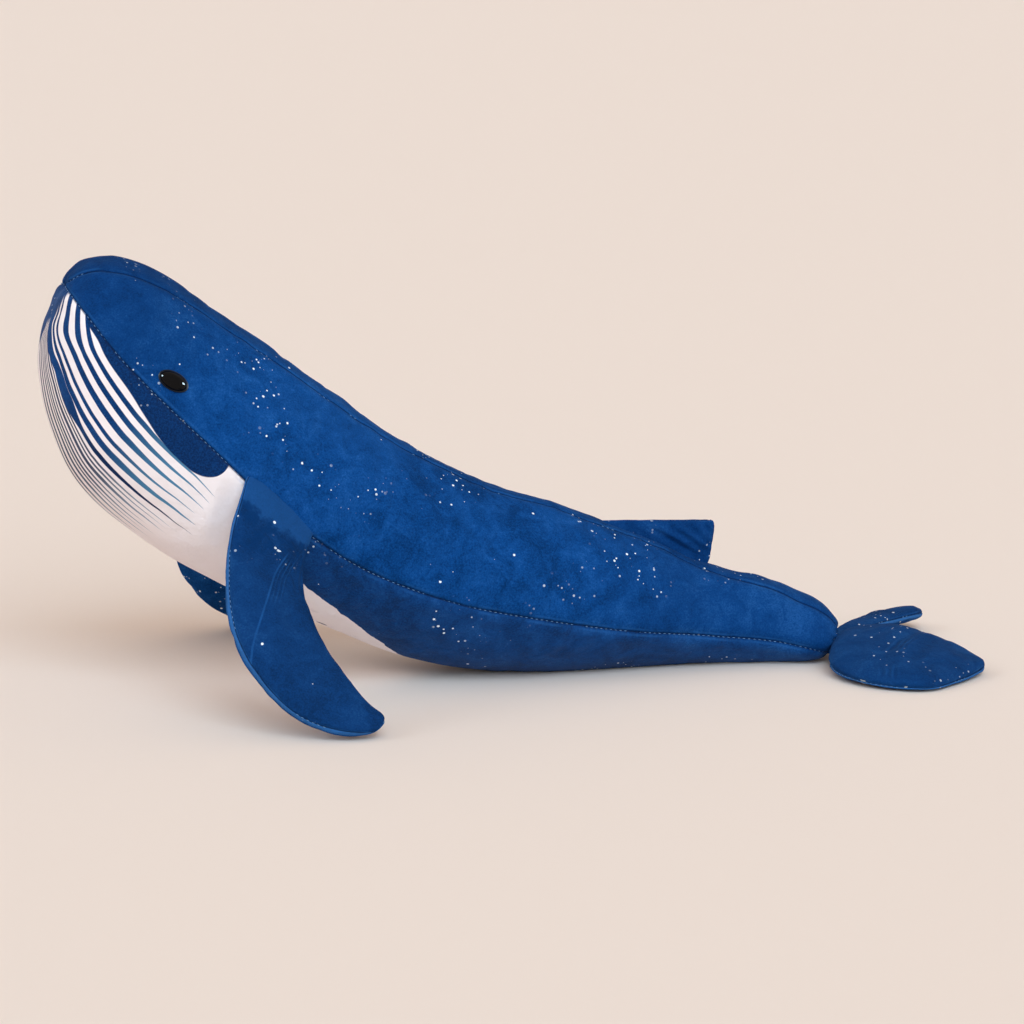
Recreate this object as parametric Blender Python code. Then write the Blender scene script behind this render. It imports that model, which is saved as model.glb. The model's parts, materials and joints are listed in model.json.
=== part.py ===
"""A stuffed whale, sewn from printed plush, as the separate pieces it is made of.

Metres, +Z up. The whale lies on its belly on the floor at z = 0, its head raised towards -X,
its tail towards +X and its left side towards -Y. The origin is on the floor, in the middle of its box.

Every piece of fabric is a slab whose outer face follows a smooth form, and the form is given by a
table of shares: the torso by its sections, and each blade (flipper, fin, fluke) by its ribs.
"""
import math

import bmesh
import bpy
import numpy as np
from mathutils import Matrix, Vector

# Torso, the sewn and stuffed body without its flippers, fin and flukes
BODY_LENGTH = 0.459
BODY_HEIGHT = 0.243
BODY_WIDTH = 0.120

# Fabric, and the room that pieces leave each other
FABRIC = 0.0018
CLEARANCE = 0.0003
SEAM_GAP = 0.0003
FILLING_ROOM = 0.0007

# Flippers: a stuffed blade on each side, which swings on the line where it is sewn on
FLIPPER_LENGTH = 0.150
FLIPPER_CHORD = 0.050
FLIPPER_PUFF = 0.0050

# Dorsal fin: a small stuffed triangle on the back, which folds on its base
FIN_LENGTH = 0.066
FIN_HEIGHT = 0.022
FIN_PUFF = 0.0024

# Tail flukes: two stuffed lobes gathered at the tail, which flap there. They are cut alike, and the
# right one lies swept back more than the left.
FLUKE_REACH = 0.0765
FLUKE_SPAN = 0.196
FLUKE_CHORD = 0.058
FLUKE_PUFF = 0.0076

# Eyes: an oval dome on a post through the fabric, held by a washer inside
EYE_LENGTH = 0.0160
EYE_HEIGHT = 0.0094
EYE_DOME = 0.0040
EYE_POST_RADIUS = 0.0020
EYE_POST_LENGTH = 0.0080
EYE_WASHER_RADIUS = 0.0065
EYE_WASHER_THICKNESS = 0.0015
EYE_WASHER_ROOM = 0.0012
EYE_PITCH = math.radians(31.0)

# How many faces the forms have
BODY_RINGS = 28
BLADE_ROWS = 8
EYE_SIDES = 20

# Sections of the torso from the snout to the tail: the top and the bottom of the profile as shares
# of the body's length and height, then the half width and how far the tail lies off to its right if
# above zero or to its left if below, both as shares of half the body's width
SECTION_SHARES = (
    (0.031, 0.937, 0.031, 0.937, 0.00, 0.00),
    (0.037, 0.966, 0.015, 0.895, 0.20, 0.00),
    (0.056, 0.994, 0.002, 0.829, 0.46, 0.00),
    (0.089, 1.000, -0.001, 0.738, 0.70, 0.00),
    (0.139, 0.968, 0.012, 0.611, 0.87, 0.00),
    (0.198, 0.891, 0.045, 0.484, 0.96, 0.00),
    (0.270, 0.794, 0.105, 0.371, 1.00, 0.00),
    (0.349, 0.680, 0.195, 0.261, 1.00, 0.00),
    (0.441, 0.556, 0.315, 0.147, 0.97, 0.00),
    (0.541, 0.453, 0.443, 0.046, 0.92, 0.00),
    (0.643, 0.386, 0.579, -0.005, 0.84, 0.00),
    (0.746, 0.307, 0.708, -0.010, 0.68, 0.00),
    (0.837, 0.229, 0.812, -0.010, 0.53, -0.02),
    (0.909, 0.193, 0.897, -0.010, 0.47, -0.09),
    (0.962, 0.147, 0.953, -0.010, 0.43, -0.16),
    (0.992, 0.082, 0.984, 0.003, 0.28, -0.19),
    (1.000, 0.036, 1.000, 0.036, 0.00, -0.20),
)

# Where the seams cross each section, as shares of the half turn from the back to the belly
BACK_SEAM_SHARES = (
    0.32, 0.28, 0.215, 0.18, 0.145, 0.12, 0.12, 0.115, 0.11,
    0.11, 0.11, 0.13, 0.165, 0.20, 0.22, 0.24, 0.26,
)
SIDE_SEAM_SHARES = (
    0.40, 0.40, 0.41, 0.43, 0.455, 0.462, 0.480, 0.530, 0.570,
    0.560, 0.560, 0.580, 0.570, 0.590, 0.620, 0.660, 0.680,
)

# Places on the torso: a share of the way along the sections, and a share of the half turn
EYE_PLACE_SHARES = (0.317, 0.402)
FLIPPER_FRONT_SHARES = (0.404, 0.505)
FLIPPER_REAR_SHARES = (0.465, 0.560)
FIN_FRONT_SHARES = (0.663, 0.000)
FIN_REAR_SHARES = (0.747, 0.000)

# Ribs of the blades from root to tip. The first three are the rib's middle: out from the hinge,
# back along the hinge and off the blade's plane. The next three run from edge to edge, and the last
# is how full the blade is there.
FLIPPER_RIB_SHARES = (
    (0.000, 0.000, 0.000, 0.00, 1.00, 0.00, 0.15),
    (0.166, 0.044, 0.030, -0.27, 0.82, -0.19, 0.70),
    (0.302, 0.096, 0.023, -0.31, 0.78, -0.28, 0.90),
    (0.422, 0.176, 0.013, -0.39, 0.81, -0.34, 1.00),
    (0.509, 0.264, 0.000, -0.46, 0.79, -0.38, 1.00),
    (0.582, 0.375, -0.030, -0.50, 0.76, -0.40, 0.95),
    (0.636, 0.488, -0.067, -0.49, 0.64, -0.38, 0.85),
    (0.652, 0.570, -0.107, -0.44, 0.50, -0.33, 0.70),
    (0.664, 0.626, -0.140, -0.31, 0.28, -0.19, 0.45),
    (0.664, 0.663, -0.160, -0.10, 0.09, -0.06, 0.15),
)
LEFT_FLUKE_RIB_SHARES = (
    (0.000, 0.079, 0.000, 0.000, 0.216, 0.000, 0.15),
    (0.013, 0.184, 0.016, -0.310, 0.552, -0.109, 0.50),
    (0.072, 0.301, 0.021, -0.534, 0.914, -0.195, 0.80),
    (0.183, 0.434, 0.014, -0.655, 1.224, -0.219, 1.00),
    (0.333, 0.556, -0.006, -0.638, 1.328, -0.181, 1.00),
    (0.504, 0.638, -0.022, -0.534, 1.190, -0.133, 0.85),
    (0.686, 0.633, -0.035, -0.362, 0.759, -0.074, 0.55),
    (0.870, 0.587, -0.039, -0.086, 0.155, -0.019, 0.15),
)
RIGHT_FLUKE_RIB_SHARES = (
    (0.000, 0.079, 0.000, 0.000, 0.216, 0.000, 0.15),
    (0.124, 0.209, 0.010, -0.052, 0.397, -0.078, 0.50),
    (0.255, 0.372, 0.010, -0.086, 0.603, -0.129, 0.80),
    (0.399, 0.510, 0.007, -0.086, 0.690, -0.155, 1.00),
    (0.542, 0.612, 0.001, -0.052, 0.759, -0.141, 1.00),
    (0.693, 0.663, -0.003, 0.000, 0.724, -0.121, 0.85),
    (0.817, 0.663, -0.003, 0.052, 0.517, -0.069, 0.55),
    (0.902, 0.633, -0.001, 0.069, 0.207, -0.026, 0.15),
)
FIN_RIB_SHARES = (
    (0.00, 0.000, 0.0, 0.0, 1.000, 0.0, 0.30),
    (0.25, 0.098, 0.0, 0.0, 0.755, 0.0, 0.85),
    (0.50, 0.196, 0.0, 0.0, 0.510, 0.0, 1.00),
    (0.75, 0.295, 0.0, 0.0, 0.265, 0.0, 0.80),
    (0.92, 0.362, 0.0, 0.0, 0.095, 0.0, 0.40),
    (1.00, 0.390, 0.0, 0.0, 0.030, 0.0, 0.15),
)

# Across each panel of the torso, its columns; the middle strip of the underside lies on the floor
GUSSET_COLUMN_SHARES = (0.0, 0.5, 1.0)
SIDE_COLUMN_SHARES = (0.0, 0.25, 0.5, 0.75, 1.0)
UNDERSIDE_COLUMN_SHARES = (0.0, 0.14, 0.28, 0.42, 0.58, 0.72, 0.86, 1.0)

# How far the underside of a fluke bulges, next to its top
FLUKE_UNDER_SHARE = 0.3
# How far a fluke may swing to come to rest, found by halving, and how near its edge it is measured
FLUKE_SWING = math.radians(8.0)
HALVINGS = 24
# How many points of the body's form a hinge line is drawn through
LINE_POINTS = 21
EDGE_SHARE = 0.01

# Across a blade, the columns of its fabric and of its filling, which ends inside the seam
BLADE_COLUMN_SHARES = (0.0, 0.10, 0.30, 0.50, 0.70, 0.90, 1.0)
# Round the root of a blade, the fabric turns in about the hinge
ROOT_TURN_SHARES = (0.86, 0.45, 0.0)

# Where the poles of the torso's form stay open, as a share of one section
POLE_SHARE = 0.12

# How far a cutter runs past what it cuts
OVERRUN = 0.002

LEFT = 1.0
RIGHT = -1.0

BLUE = (0.030, 0.110, 0.330)
PRINTED_WHITE = (0.780, 0.740, 0.740)
STUFFING_WHITE = (0.850, 0.850, 0.830)
EYE_BLACK = (0.010, 0.010, 0.012)
WASHER_GREY = (0.600, 0.600, 0.600)


def clear_scene():
    """Remove what the file holds, and give the part and its cutters a collection each."""
    for thing in list(bpy.data.objects):
        bpy.data.objects.remove(thing, do_unlink=True)
    collections = {}
    for name in ("plush_whale", "cutters"):
        collections[name] = bpy.data.collections.new(name)
        bpy.context.scene.collection.children.link(collections[name])
    return collections


def make_material(name, colour, roughness):
    """A plain finish; plush and stuffing are rough, the eye is glossy."""
    material = bpy.data.materials.new(name)
    material.use_nodes = True
    shader = material.node_tree.nodes["Principled BSDF"]
    shader.inputs["Base Color"].default_value = (*colour, 1.0)
    shader.inputs["Roughness"].default_value = roughness
    shader.inputs["Metallic"].default_value = 0.0
    return material


def smooth_rows(rows, before, after, place):
    """Rows of numbers joined by one smooth curve, read at places counted in rows."""
    table = np.vstack([before, rows, after])
    place = np.clip(np.asarray(place, dtype=float), 0, len(rows) - 1)
    first = np.minimum(place.astype(int), len(rows) - 2)
    step = (place - first)[..., None]
    a, b, c, d = (table[first + k] for k in range(4))
    return 0.5 * (2 * b + (c - a) * step + (2 * a - 5 * b + 4 * c - d) * step ** 2
                  + (3 * b - a - 3 * c + d) * step ** 3)


class Torso:
    """The outer form of the torso: a place along the sections and a turn round each gives a point."""

    def __init__(self):
        rows = np.array(SECTION_SHARES)
        front = -(BODY_LENGTH + FLUKE_REACH) / 2
        lengths = (BODY_LENGTH, BODY_HEIGHT, BODY_LENGTH, BODY_HEIGHT, BODY_WIDTH / 2, BODY_WIDTH / 2)
        self.rows = rows * np.array(lengths) + np.array((front, 0, front, 0, 0, 0))
        self.count = len(rows) - 1
        self.turns = np.stack([np.array(BACK_SEAM_SHARES), np.array(SIDE_SEAM_SHARES)], axis=-1)

    def section(self, place):
        """Top, bottom, half width and shift; past a pole the top goes on as the bottom."""
        swap = [2, 3, 0, 1, 4, 5]
        mirror = np.array((1, 1, 1, 1, -1, 1))
        return smooth_rows(self.rows, self.rows[1][swap] * mirror, self.rows[-2][swap] * mirror, place)

    def seams(self, place):
        """The turns of the back seam and of the side seam."""
        return smooth_rows(self.turns, self.turns[0], self.turns[-1], place)

    def raw_point(self, place, turn):
        """A point of the form before the floor flattens it; turn 0 is the back, 1 the belly."""
        row = self.section(place)
        angle = math.pi * np.asarray(turn)
        middle_x = (row[..., 0] + row[..., 2]) / 2
        middle_z = (row[..., 1] + row[..., 3]) / 2
        reach_x = (row[..., 0] - row[..., 2]) / 2
        reach_z = (row[..., 1] - row[..., 3]) / 2
        return np.stack([middle_x + reach_x * np.cos(angle), row[..., 5] - row[..., 4] * np.sin(angle),
                         middle_z + reach_z * np.cos(angle)], axis=-1)

    def normal(self, place, turn):
        """The outward direction, from the two slopes of the form."""
        nudge = 0.001
        along = self.raw_point(place + nudge, turn) - self.raw_point(place - nudge, turn)
        round_it = self.raw_point(place, turn + nudge) - self.raw_point(place, turn - nudge)
        normal = np.cross(round_it, along)
        return normal / np.linalg.norm(normal, axis=-1, keepdims=True)

    def point(self, place, turn, depth=0.0):
        """A point at a depth under the fabric's outer face, which the floor cuts flat."""
        place, turn = np.broadcast_arrays(np.asarray(place, float), np.asarray(turn, float))
        point = self.raw_point(place, turn) - self.normal(place, turn) * depth
        point[..., 2] = np.maximum(point[..., 2], 0)
        return point

    def place(self, shares, side=LEFT):
        """A place and a turn from a pair of shares, on the left or on the right."""
        return shares[0] * self.count, shares[1] if side == LEFT else 2 - shares[1]

    def rings(self):
        """Places along the torso, closer together where the ends close."""
        step = np.arange(BODY_RINGS + 1) / BODY_RINGS
        eased = (1 - np.cos(math.pi * step)) / 2
        return POLE_SHARE + (self.count - 2 * POLE_SHARE) * eased

    def half_girth(self, place):
        """Length of a half turn, as on a circle between the section's height and width."""
        row = self.section(place)
        height = np.hypot(row[..., 0] - row[..., 2], row[..., 1] - row[..., 3]) / 2
        return math.pi * (height + row[..., 4]) / 2


def unit_slab(along, across):
    """A flat slab of unit size, one cell thick, with its rows along x and its columns along y."""
    mesh = bmesh.new()
    bmesh.ops.create_grid(mesh, x_segments=along, y_segments=across, size=0.5)
    made = bmesh.ops.extrude_face_region(mesh, geom=mesh.faces[:], use_keep_orig=True)
    lower = [item for item in made["geom"] if isinstance(item, bmesh.types.BMVert)]
    bmesh.ops.translate(mesh, verts=lower, vec=(0.0, 0.0, 1.0))
    bmesh.ops.translate(mesh, verts=mesh.verts, vec=(0.5, 0.5, 0.0))
    bmesh.ops.recalc_face_normals(mesh, faces=mesh.faces)
    return mesh


def add_mesh(name, mesh, material, collection, hinge=None):
    """An object from a bmesh in world metres, with its origin on its hinge if it has one."""
    if mesh.calc_volume(signed=True) < 0:
        bmesh.ops.reverse_faces(mesh, faces=mesh.faces)
    data = bpy.data.meshes.new(name)
    mesh.to_mesh(data)
    mesh.free()
    data.materials.append(material)
    thing = bpy.data.objects.new(name, data)
    collection.objects.link(thing)
    if hinge is not None:
        data.transform(Matrix.Translation(-hinge.location))
        thing.parent = hinge
    return thing


def slab_on_form(name, rows, columns, reach, material, collection, hinge=None):
    """A unit slab moved onto a form: reach gives the point of a row, a column and a side."""
    mesh = unit_slab(len(rows) - 1, len(columns) - 1)
    for vertex in mesh.verts:
        row = round(vertex.co.x * (len(rows) - 1))
        column = round(vertex.co.y * (len(columns) - 1))
        vertex.co = reach(rows[row], columns[column], vertex.co.z)
    return add_mesh(name, mesh, material, collection, hinge)


def torso_panel(name, torso, first_edge, last_edge, columns, material, collection):
    """One panel of the torso between two seams, a fabric's thickness deep."""

    def reach(place, share, inner):
        trim = SEAM_GAP / 2 / torso.half_girth(place)
        start = first_edge(place) + trim
        end = last_edge(place) - trim
        return torso.point(place, start + (end - start) * share, FABRIC * inner)

    return slab_on_form(name, torso.rings(), columns, reach, material, collection)


def round_solid(name, turns, rings, reach, material, collection):
    """A sphere whose latitudes and longitudes move onto a form, closed at both poles."""
    mesh = bmesh.new()
    bmesh.ops.create_uvsphere(mesh, u_segments=len(turns), v_segments=len(rings) + 1, radius=1.0)
    for vertex in mesh.verts:
        latitude = math.acos(max(-1.0, min(1.0, vertex.co.z))) / math.pi
        ring = round(latitude * (len(rings) + 1)) - 1
        longitude = math.atan2(vertex.co.y, vertex.co.x) / (2 * math.pi)
        turn = round(longitude * len(turns)) % len(turns)
        vertex.co = reach(ring, turns[turn])
    return add_mesh(name, mesh, material, collection)


def cut(thing, cutter, operation="DIFFERENCE"):
    """A live Boolean with a hidden cutter."""
    modifier = thing.modifiers.new(operation.lower(), "BOOLEAN")
    modifier.operation = operation
    modifier.object = cutter


def hidden_rod(name, radius, centre, direction, start, end, cutters):
    """A hidden round rod along a direction, used as a cutter."""
    mesh = bmesh.new()
    bmesh.ops.create_cone(mesh, cap_ends=True, segments=EYE_SIDES, radius1=radius, radius2=radius,
                          depth=end - start)
    turn = Vector(direction).to_track_quat("Z", "Y").to_matrix().to_4x4()
    place = Matrix.Translation(Vector(centre) + Vector(direction) * ((start + end) / 2))
    bmesh.ops.transform(mesh, matrix=place @ turn, verts=mesh.verts)
    rod = add_mesh(name, mesh, cutters["material"], cutters["collection"])
    rod.hide_render = True
    rod.display_type = "WIRE"
    return rod


def make_torso(torso, materials, whale):
    """The four sewn panels of the torso and the stuffing that they hold."""

    def back_seam(place):
        return torso.seams(place)[..., 0]

    def side_seam(place):
        return torso.seams(place)[..., 1]

    def right_back_seam(place):
        return 2 - back_seam(place)

    def right_side_seam(place):
        return 2 - side_seam(place)

    def left_of_back(place):
        return -back_seam(place)

    panels = {
        "left": torso_panel("left_side_panel", torso, back_seam, side_seam, SIDE_COLUMN_SHARES,
                            materials["blue_plush"], whale),
        "right": torso_panel("right_side_panel", torso, right_side_seam, right_back_seam, SIDE_COLUMN_SHARES,
                             materials["blue_plush"], whale),
    }
    torso_panel("back_gusset", torso, left_of_back, back_seam, GUSSET_COLUMN_SHARES,
                materials["blue_plush"], whale)
    torso_panel("underside_panel", torso, side_seam, right_side_seam, UNDERSIDE_COLUMN_SHARES,
                materials["printed_plush"], whale)

    rings = torso.rings()
    spans = ((left_of_back, back_seam, GUSSET_COLUMN_SHARES),
             (back_seam, side_seam, SIDE_COLUMN_SHARES),
             (side_seam, right_side_seam, UNDERSIDE_COLUMN_SHARES),
             (right_side_seam, right_back_seam, SIDE_COLUMN_SHARES))
    turns = [(first, last, share) for first, last, shares in spans for share in shares[:-1]]

    def reach(ring, turn):
        place = rings[min(max(ring, 0), len(rings) - 1)]
        first, last, share = turn
        angle = first(place) + (last(place) - first(place)) * share
        if ring < 0 or ring >= len(rings):
            ends = torso.point(place, np.array((0.0, 1.0)), FABRIC + FILLING_ROOM)
            return ends.mean(axis=0)
        return torso.point(place, angle, FABRIC + FILLING_ROOM)

    panels["filling"] = round_solid("torso_filling", turns, rings, reach, materials["stuffing"], whale)
    return panels


def make_eye(side, torso, panels, materials, whale, cutters):
    """A safety eye: its dome outside, its post through the fabric, its washer inside."""
    name = "left" if side == LEFT else "right"
    place, turn = torso.place(EYE_PLACE_SHARES, side)
    centre = Vector(torso.point(place, turn))
    outward = Vector(torso.normal(place, turn))
    pitch = Vector((math.cos(EYE_PITCH), 0.0, -math.sin(EYE_PITCH)))
    across = outward.cross(pitch).normalized()
    along = across.cross(outward).normalized()
    frame = Matrix((along, across, outward)).transposed()

    sections = [(EYE_POST_RADIUS, EYE_POST_RADIUS, -EYE_POST_LENGTH), (EYE_POST_RADIUS, EYE_POST_RADIUS, 0)]
    dome_rings = 4
    for step in range(dome_rings):
        rise = math.pi / 2 * step / dome_rings
        sections.append((EYE_LENGTH / 2 * math.cos(rise), EYE_HEIGHT / 2 * math.cos(rise),
                         EYE_DOME * math.sin(rise)))
    turns = [2 * math.pi * step / EYE_SIDES for step in range(EYE_SIDES)]

    def reach(ring, angle):
        if ring < 0:
            local = Vector((0, 0, -EYE_POST_LENGTH))
        elif ring >= len(sections):
            local = Vector((0, 0, EYE_DOME))
        else:
            half_length, half_height, height = sections[ring]
            local = Vector((half_length * math.cos(angle), half_height * math.sin(angle), height))
        return centre + frame @ (local + Vector((0, 0, CLEARANCE)))

    round_solid(f"{name}_eye", turns, sections, reach, materials["eye_gloss"], whale)

    hole = hidden_rod(f"{name}_eye_hole", EYE_POST_RADIUS + CLEARANCE, centre, outward,
                      -EYE_POST_LENGTH, OVERRUN, cutters)
    cut(panels[name], hole)
    pocket = hidden_rod(f"{name}_eye_pocket", EYE_WASHER_RADIUS + CLEARANCE, centre, outward,
                        -EYE_POST_LENGTH - CLEARANCE, OVERRUN, cutters)
    cut(panels["filling"], pocket)

    top = -FABRIC - EYE_WASHER_ROOM
    profile = bmesh.new()
    inner, outer = EYE_POST_RADIUS + CLEARANCE, EYE_WASHER_RADIUS
    corners = [(inner, top), (outer, top), (outer, top - EYE_WASHER_THICKNESS),
               (inner, top - EYE_WASHER_THICKNESS)]
    vertices = [profile.verts.new((radius, 0.0, height)) for radius, height in corners]
    edges = [profile.edges.new((vertices[k], vertices[(k + 1) % len(vertices)]))
             for k in range(len(vertices))]
    bmesh.ops.spin(profile, geom=vertices + edges, cent=(0, 0, 0), axis=(0, 0, 1),
                   angle=2 * math.pi, steps=EYE_SIDES, use_merge=True)
    bmesh.ops.recalc_face_normals(profile, faces=profile.faces)
    bmesh.ops.transform(profile, matrix=Matrix.Translation(centre) @ frame.to_4x4(), verts=profile.verts)
    add_mesh(f"{name}_eye_washer", profile, materials["washer_nylon"], whale)


class Blade:
    """The middle surface of a flipper, fin or fluke, on ribs set out from its hinge."""

    def __init__(self, side, ribs, middle_sizes, chord, puff, hinge_point, out, back, under_share=1.0):
        self.side = side
        rows = np.array(ribs)
        self.middles = rows[:, 0:3] * np.array(middle_sizes)
        self.chords = rows[:, 3:6] * chord
        self.fullness = rows[:, 6:7] * puff
        self.under_share = under_share
        self.hinge_point = np.array(hinge_point)
        self.back = np.array(back) / np.linalg.norm(back)
        self.turn_to(np.array(out))
        self.count = len(rows) - 1

    def turn_to(self, out):
        """Point the blade away from its hinge, square to it."""
        out = out - self.back * (out @ self.back)
        self.out = out / np.linalg.norm(out)
        self.off = np.cross(self.back, self.out) * self.side

    def swing(self, angle):
        """Turn the blade about its hinge."""
        self.turn_to(self.out * math.cos(angle) + self.off * math.sin(angle))

    def row(self, place):
        """The rib's middle, its chord and its fullness at a place counted in ribs."""
        table = np.hstack([self.middles, self.chords, self.fullness])
        row = smooth_rows(table, 2 * table[0] - table[1], 2 * table[-1] - table[-2], place)
        return row[..., 0:3], row[..., 3:6], row[..., 6]

    def local_point(self, place, share):
        middle, chord, _ = self.row(place)
        return middle + chord * (np.asarray(share)[..., None] - 0.5)

    def to_world(self, local):
        axes = np.stack([self.out, self.back, self.off])
        return self.hinge_point + local @ axes

    def local_normal(self, place, share):
        nudge = 0.001
        place = min(place, self.count - nudge)
        along = self.local_point(place + nudge, share) - self.local_point(place - nudge, share)
        chord = self.row(place)[1]
        normal = np.cross(along, chord)
        return normal / np.linalg.norm(normal)

    def bulge(self, place, share, face):
        """How far the filling lifts the fabric off the middle surface, none at the edges."""
        fullness = max(self.row(place)[2], 0) * math.sqrt(max(0.0, 1 - (2 * share - 1) ** 2))
        return fullness * (self.under_share if face < 0 else 1)

    def lowest(self, thickness):
        """The lowest point of the blade's underside, on a grid of its ribs."""
        low = math.inf
        for place in range(1, self.count + 1):
            for share in BLADE_COLUMN_SHARES:
                share = min(max(share, EDGE_SHARE), 1 - EDGE_SHARE)
                normal = self.local_normal(place, share)
                middle = self.local_point(place, share)
                for face in (-1, 1):
                    lift = self.bulge(place, share, face) + thickness
                    low = min(low, self.to_world(middle + normal * lift * face)[2])
        return low

    def rest_on_floor(self, thickness, first, last):
        """Swing the blade between two angles until its lowest point rests on the floor."""
        start_out = self.out
        for _ in range(HALVINGS):
            angle = (first + last) / 2
            self.turn_to(start_out)
            self.swing(angle)
            if self.lowest(thickness) > CLEARANCE:
                first = angle
            else:
                last = angle
        self.turn_to(start_out)
        self.swing(first)


def make_blade(names, blade, materials, whale, hinge_name):
    """The two panels of a blade and its filling, turned about one hinge."""
    root = FABRIC + SEAM_GAP / 2
    hinge = bpy.data.objects.new(hinge_name, None)
    hinge.location = Vector(blade.hinge_point)
    whale.objects.link(hinge)
    steps = [blade.count * step / BLADE_ROWS for step in range(1, BLADE_ROWS + 1)]
    rows = [(0.0, turn) for turn in ROOT_TURN_SHARES] + [(step, 0.0) for step in steps]

    def surface(row, share, face, depth):
        place, turn = row
        angle = math.pi / 2 * turn
        middle = blade.local_point(place, share)
        middle = middle - np.array((root * math.sin(angle), 0.0, 0.0))
        if place == 0:
            normal = np.array((0.0, 0.0, 1.0))
            inner, outer = SEAM_GAP / 2, root * math.cos(angle)
        else:
            normal = blade.local_normal(place, share)
            inner = SEAM_GAP / 2 + blade.bulge(place, share, face)
            outer = inner + FABRIC
        lift = outer + (inner - outer) * depth
        return Vector(blade.to_world(middle + normal * lift * face))

    for name, face in zip(names[:2], (-1.0, 1.0)):
        slab_on_form(name, rows, BLADE_COLUMN_SHARES,
                     lambda row, share, depth, face=face: surface(row, share, face, depth),
                     materials["blue_plush"], whale, hinge)

    def filling(row, share, depth):
        place, _ = row
        normal = blade.local_normal(place, share)
        face = 2 * depth - 1
        lift = SEAM_GAP / 2 + blade.bulge(place, share, face) - CLEARANCE
        return Vector(blade.to_world(blade.local_point(place, share) + normal * lift * face))

    slab_on_form(names[2], [(step, 0.0) for step in steps[:-1]], BLADE_COLUMN_SHARES[1:-1], filling,
                 materials["stuffing"], whale, hinge)


def unit(vector):
    return vector / np.linalg.norm(vector)


def root_line(torso, front_shares, rear_shares, side=LEFT):
    """A hinge over the torso: its middle, the way off the torso, and the way back along it."""
    front = np.array(torso.place(front_shares, side))
    rear = np.array(torso.place(rear_shares, side))
    steps = np.linspace(0, 1, LINE_POINTS)[:, None]
    places = front + (rear - front) * steps
    points = torso.point(places[:, 0], places[:, 1])
    back = unit(points[-1] - points[0])
    normal = torso.normal(*((front + rear) / 2))
    normal = unit(normal - back * (normal @ back))
    rise = max((points - points[0]) @ normal)
    offset = rise + FABRIC + SEAM_GAP / 2 + CLEARANCE
    return (points[0] + points[-1]) / 2 + normal * offset, normal, back


def make_flippers(torso, materials, whale):
    blades = {}
    for side, name in ((LEFT, "left"), (RIGHT, "right")):
        middle, normal, back = root_line(torso, FLIPPER_FRONT_SHARES, FLIPPER_REAR_SHARES, side)
        blade = Blade(side, FLIPPER_RIB_SHARES, (FLIPPER_LENGTH,) * 3, FLIPPER_CHORD, FLIPPER_PUFF,
                      middle, normal, back)
        blade.rest_on_floor(FABRIC + SEAM_GAP / 2, 0.0, math.radians(80))
        make_blade((f"{name}_flipper_outer_panel", f"{name}_flipper_inner_panel",
                    f"{name}_flipper_filling"), blade, materials, whale, f"{name}_flipper_hinge")
        blades[f"{name} flipper"] = blade
    return blades


def make_flukes(torso, materials, whale):
    blades = {}
    tail = torso.raw_point(torso.count, 0.0)
    away = unit((tail - torso.raw_point(torso.count / 2, 0.0)) * np.array((1.0, 1.0, 0.0)))
    offset = FABRIC + SEAM_GAP / 2 + CLEARANCE
    for side, name, ribs in ((LEFT, "left", LEFT_FLUKE_RIB_SHARES), (RIGHT, "right", RIGHT_FLUKE_RIB_SHARES)):
        back = np.cross(away, np.array((0.0, 0.0, side)))
        blade = Blade(side, ribs, (FLUKE_REACH, FLUKE_SPAN / 2, FLUKE_SPAN / 2), FLUKE_CHORD,
                      FLUKE_PUFF, tail + away * offset, away, back, FLUKE_UNDER_SHARE)
        blade.rest_on_floor(FABRIC + SEAM_GAP / 2, FLUKE_SWING, -FLUKE_SWING)
        make_blade((f"{name}_fluke_bottom_panel", f"{name}_fluke_top_panel", f"{name}_fluke_filling"),
                   blade, materials, whale, f"{name}_fluke_hinge")
        blades[f"{name} fluke"] = blade
    return blades


def make_fin(torso, materials, whale):
    middle, normal, back = root_line(torso, FIN_FRONT_SHARES, FIN_REAR_SHARES)
    blade = Blade(LEFT, FIN_RIB_SHARES, (FIN_HEIGHT, FIN_LENGTH, 0.0), FIN_LENGTH, FIN_PUFF,
                  middle, normal, back)
    make_blade(("dorsal_fin_right_panel", "dorsal_fin_left_panel", "dorsal_fin_filling"),
               blade, materials, whale, "dorsal_fin_hinge")
    return {"dorsal fin": blade}


def build():
    collections = clear_scene()
    materials = {
        "blue_plush": make_material("blue_plush", BLUE, 0.9),
        "printed_plush": make_material("printed_plush", PRINTED_WHITE, 0.9),
        "stuffing": make_material("stuffing", STUFFING_WHITE, 1.0),
        "eye_gloss": make_material("eye_gloss", EYE_BLACK, 0.08),
        "washer_nylon": make_material("washer_nylon", WASHER_GREY, 0.5),
    }
    whale = collections["plush_whale"]
    cutters = {"collection": collections["cutters"], "material": materials["washer_nylon"]}
    torso = Torso()
    panels = make_torso(torso, materials, whale)
    for side in (LEFT, RIGHT):
        make_eye(side, torso, panels, materials, whale, cutters)
    blades = make_flippers(torso, materials, whale)
    blades.update(make_flukes(torso, materials, whale))
    blades.update(make_fin(torso, materials, whale))
    return torso, blades


def main():
    torso, blades = build()
    for name, blade in blades.items():
        print(name, "hinge at", np.round(blade.hinge_point, 5), "along", np.round(blade.back, 5),
              "blade out", np.round(blade.out, 4))
    return torso, blades


main()
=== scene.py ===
import json
import math

import bmesh
import bpy
import numpy as np
from mathutils import Matrix, Vector, noise


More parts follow.
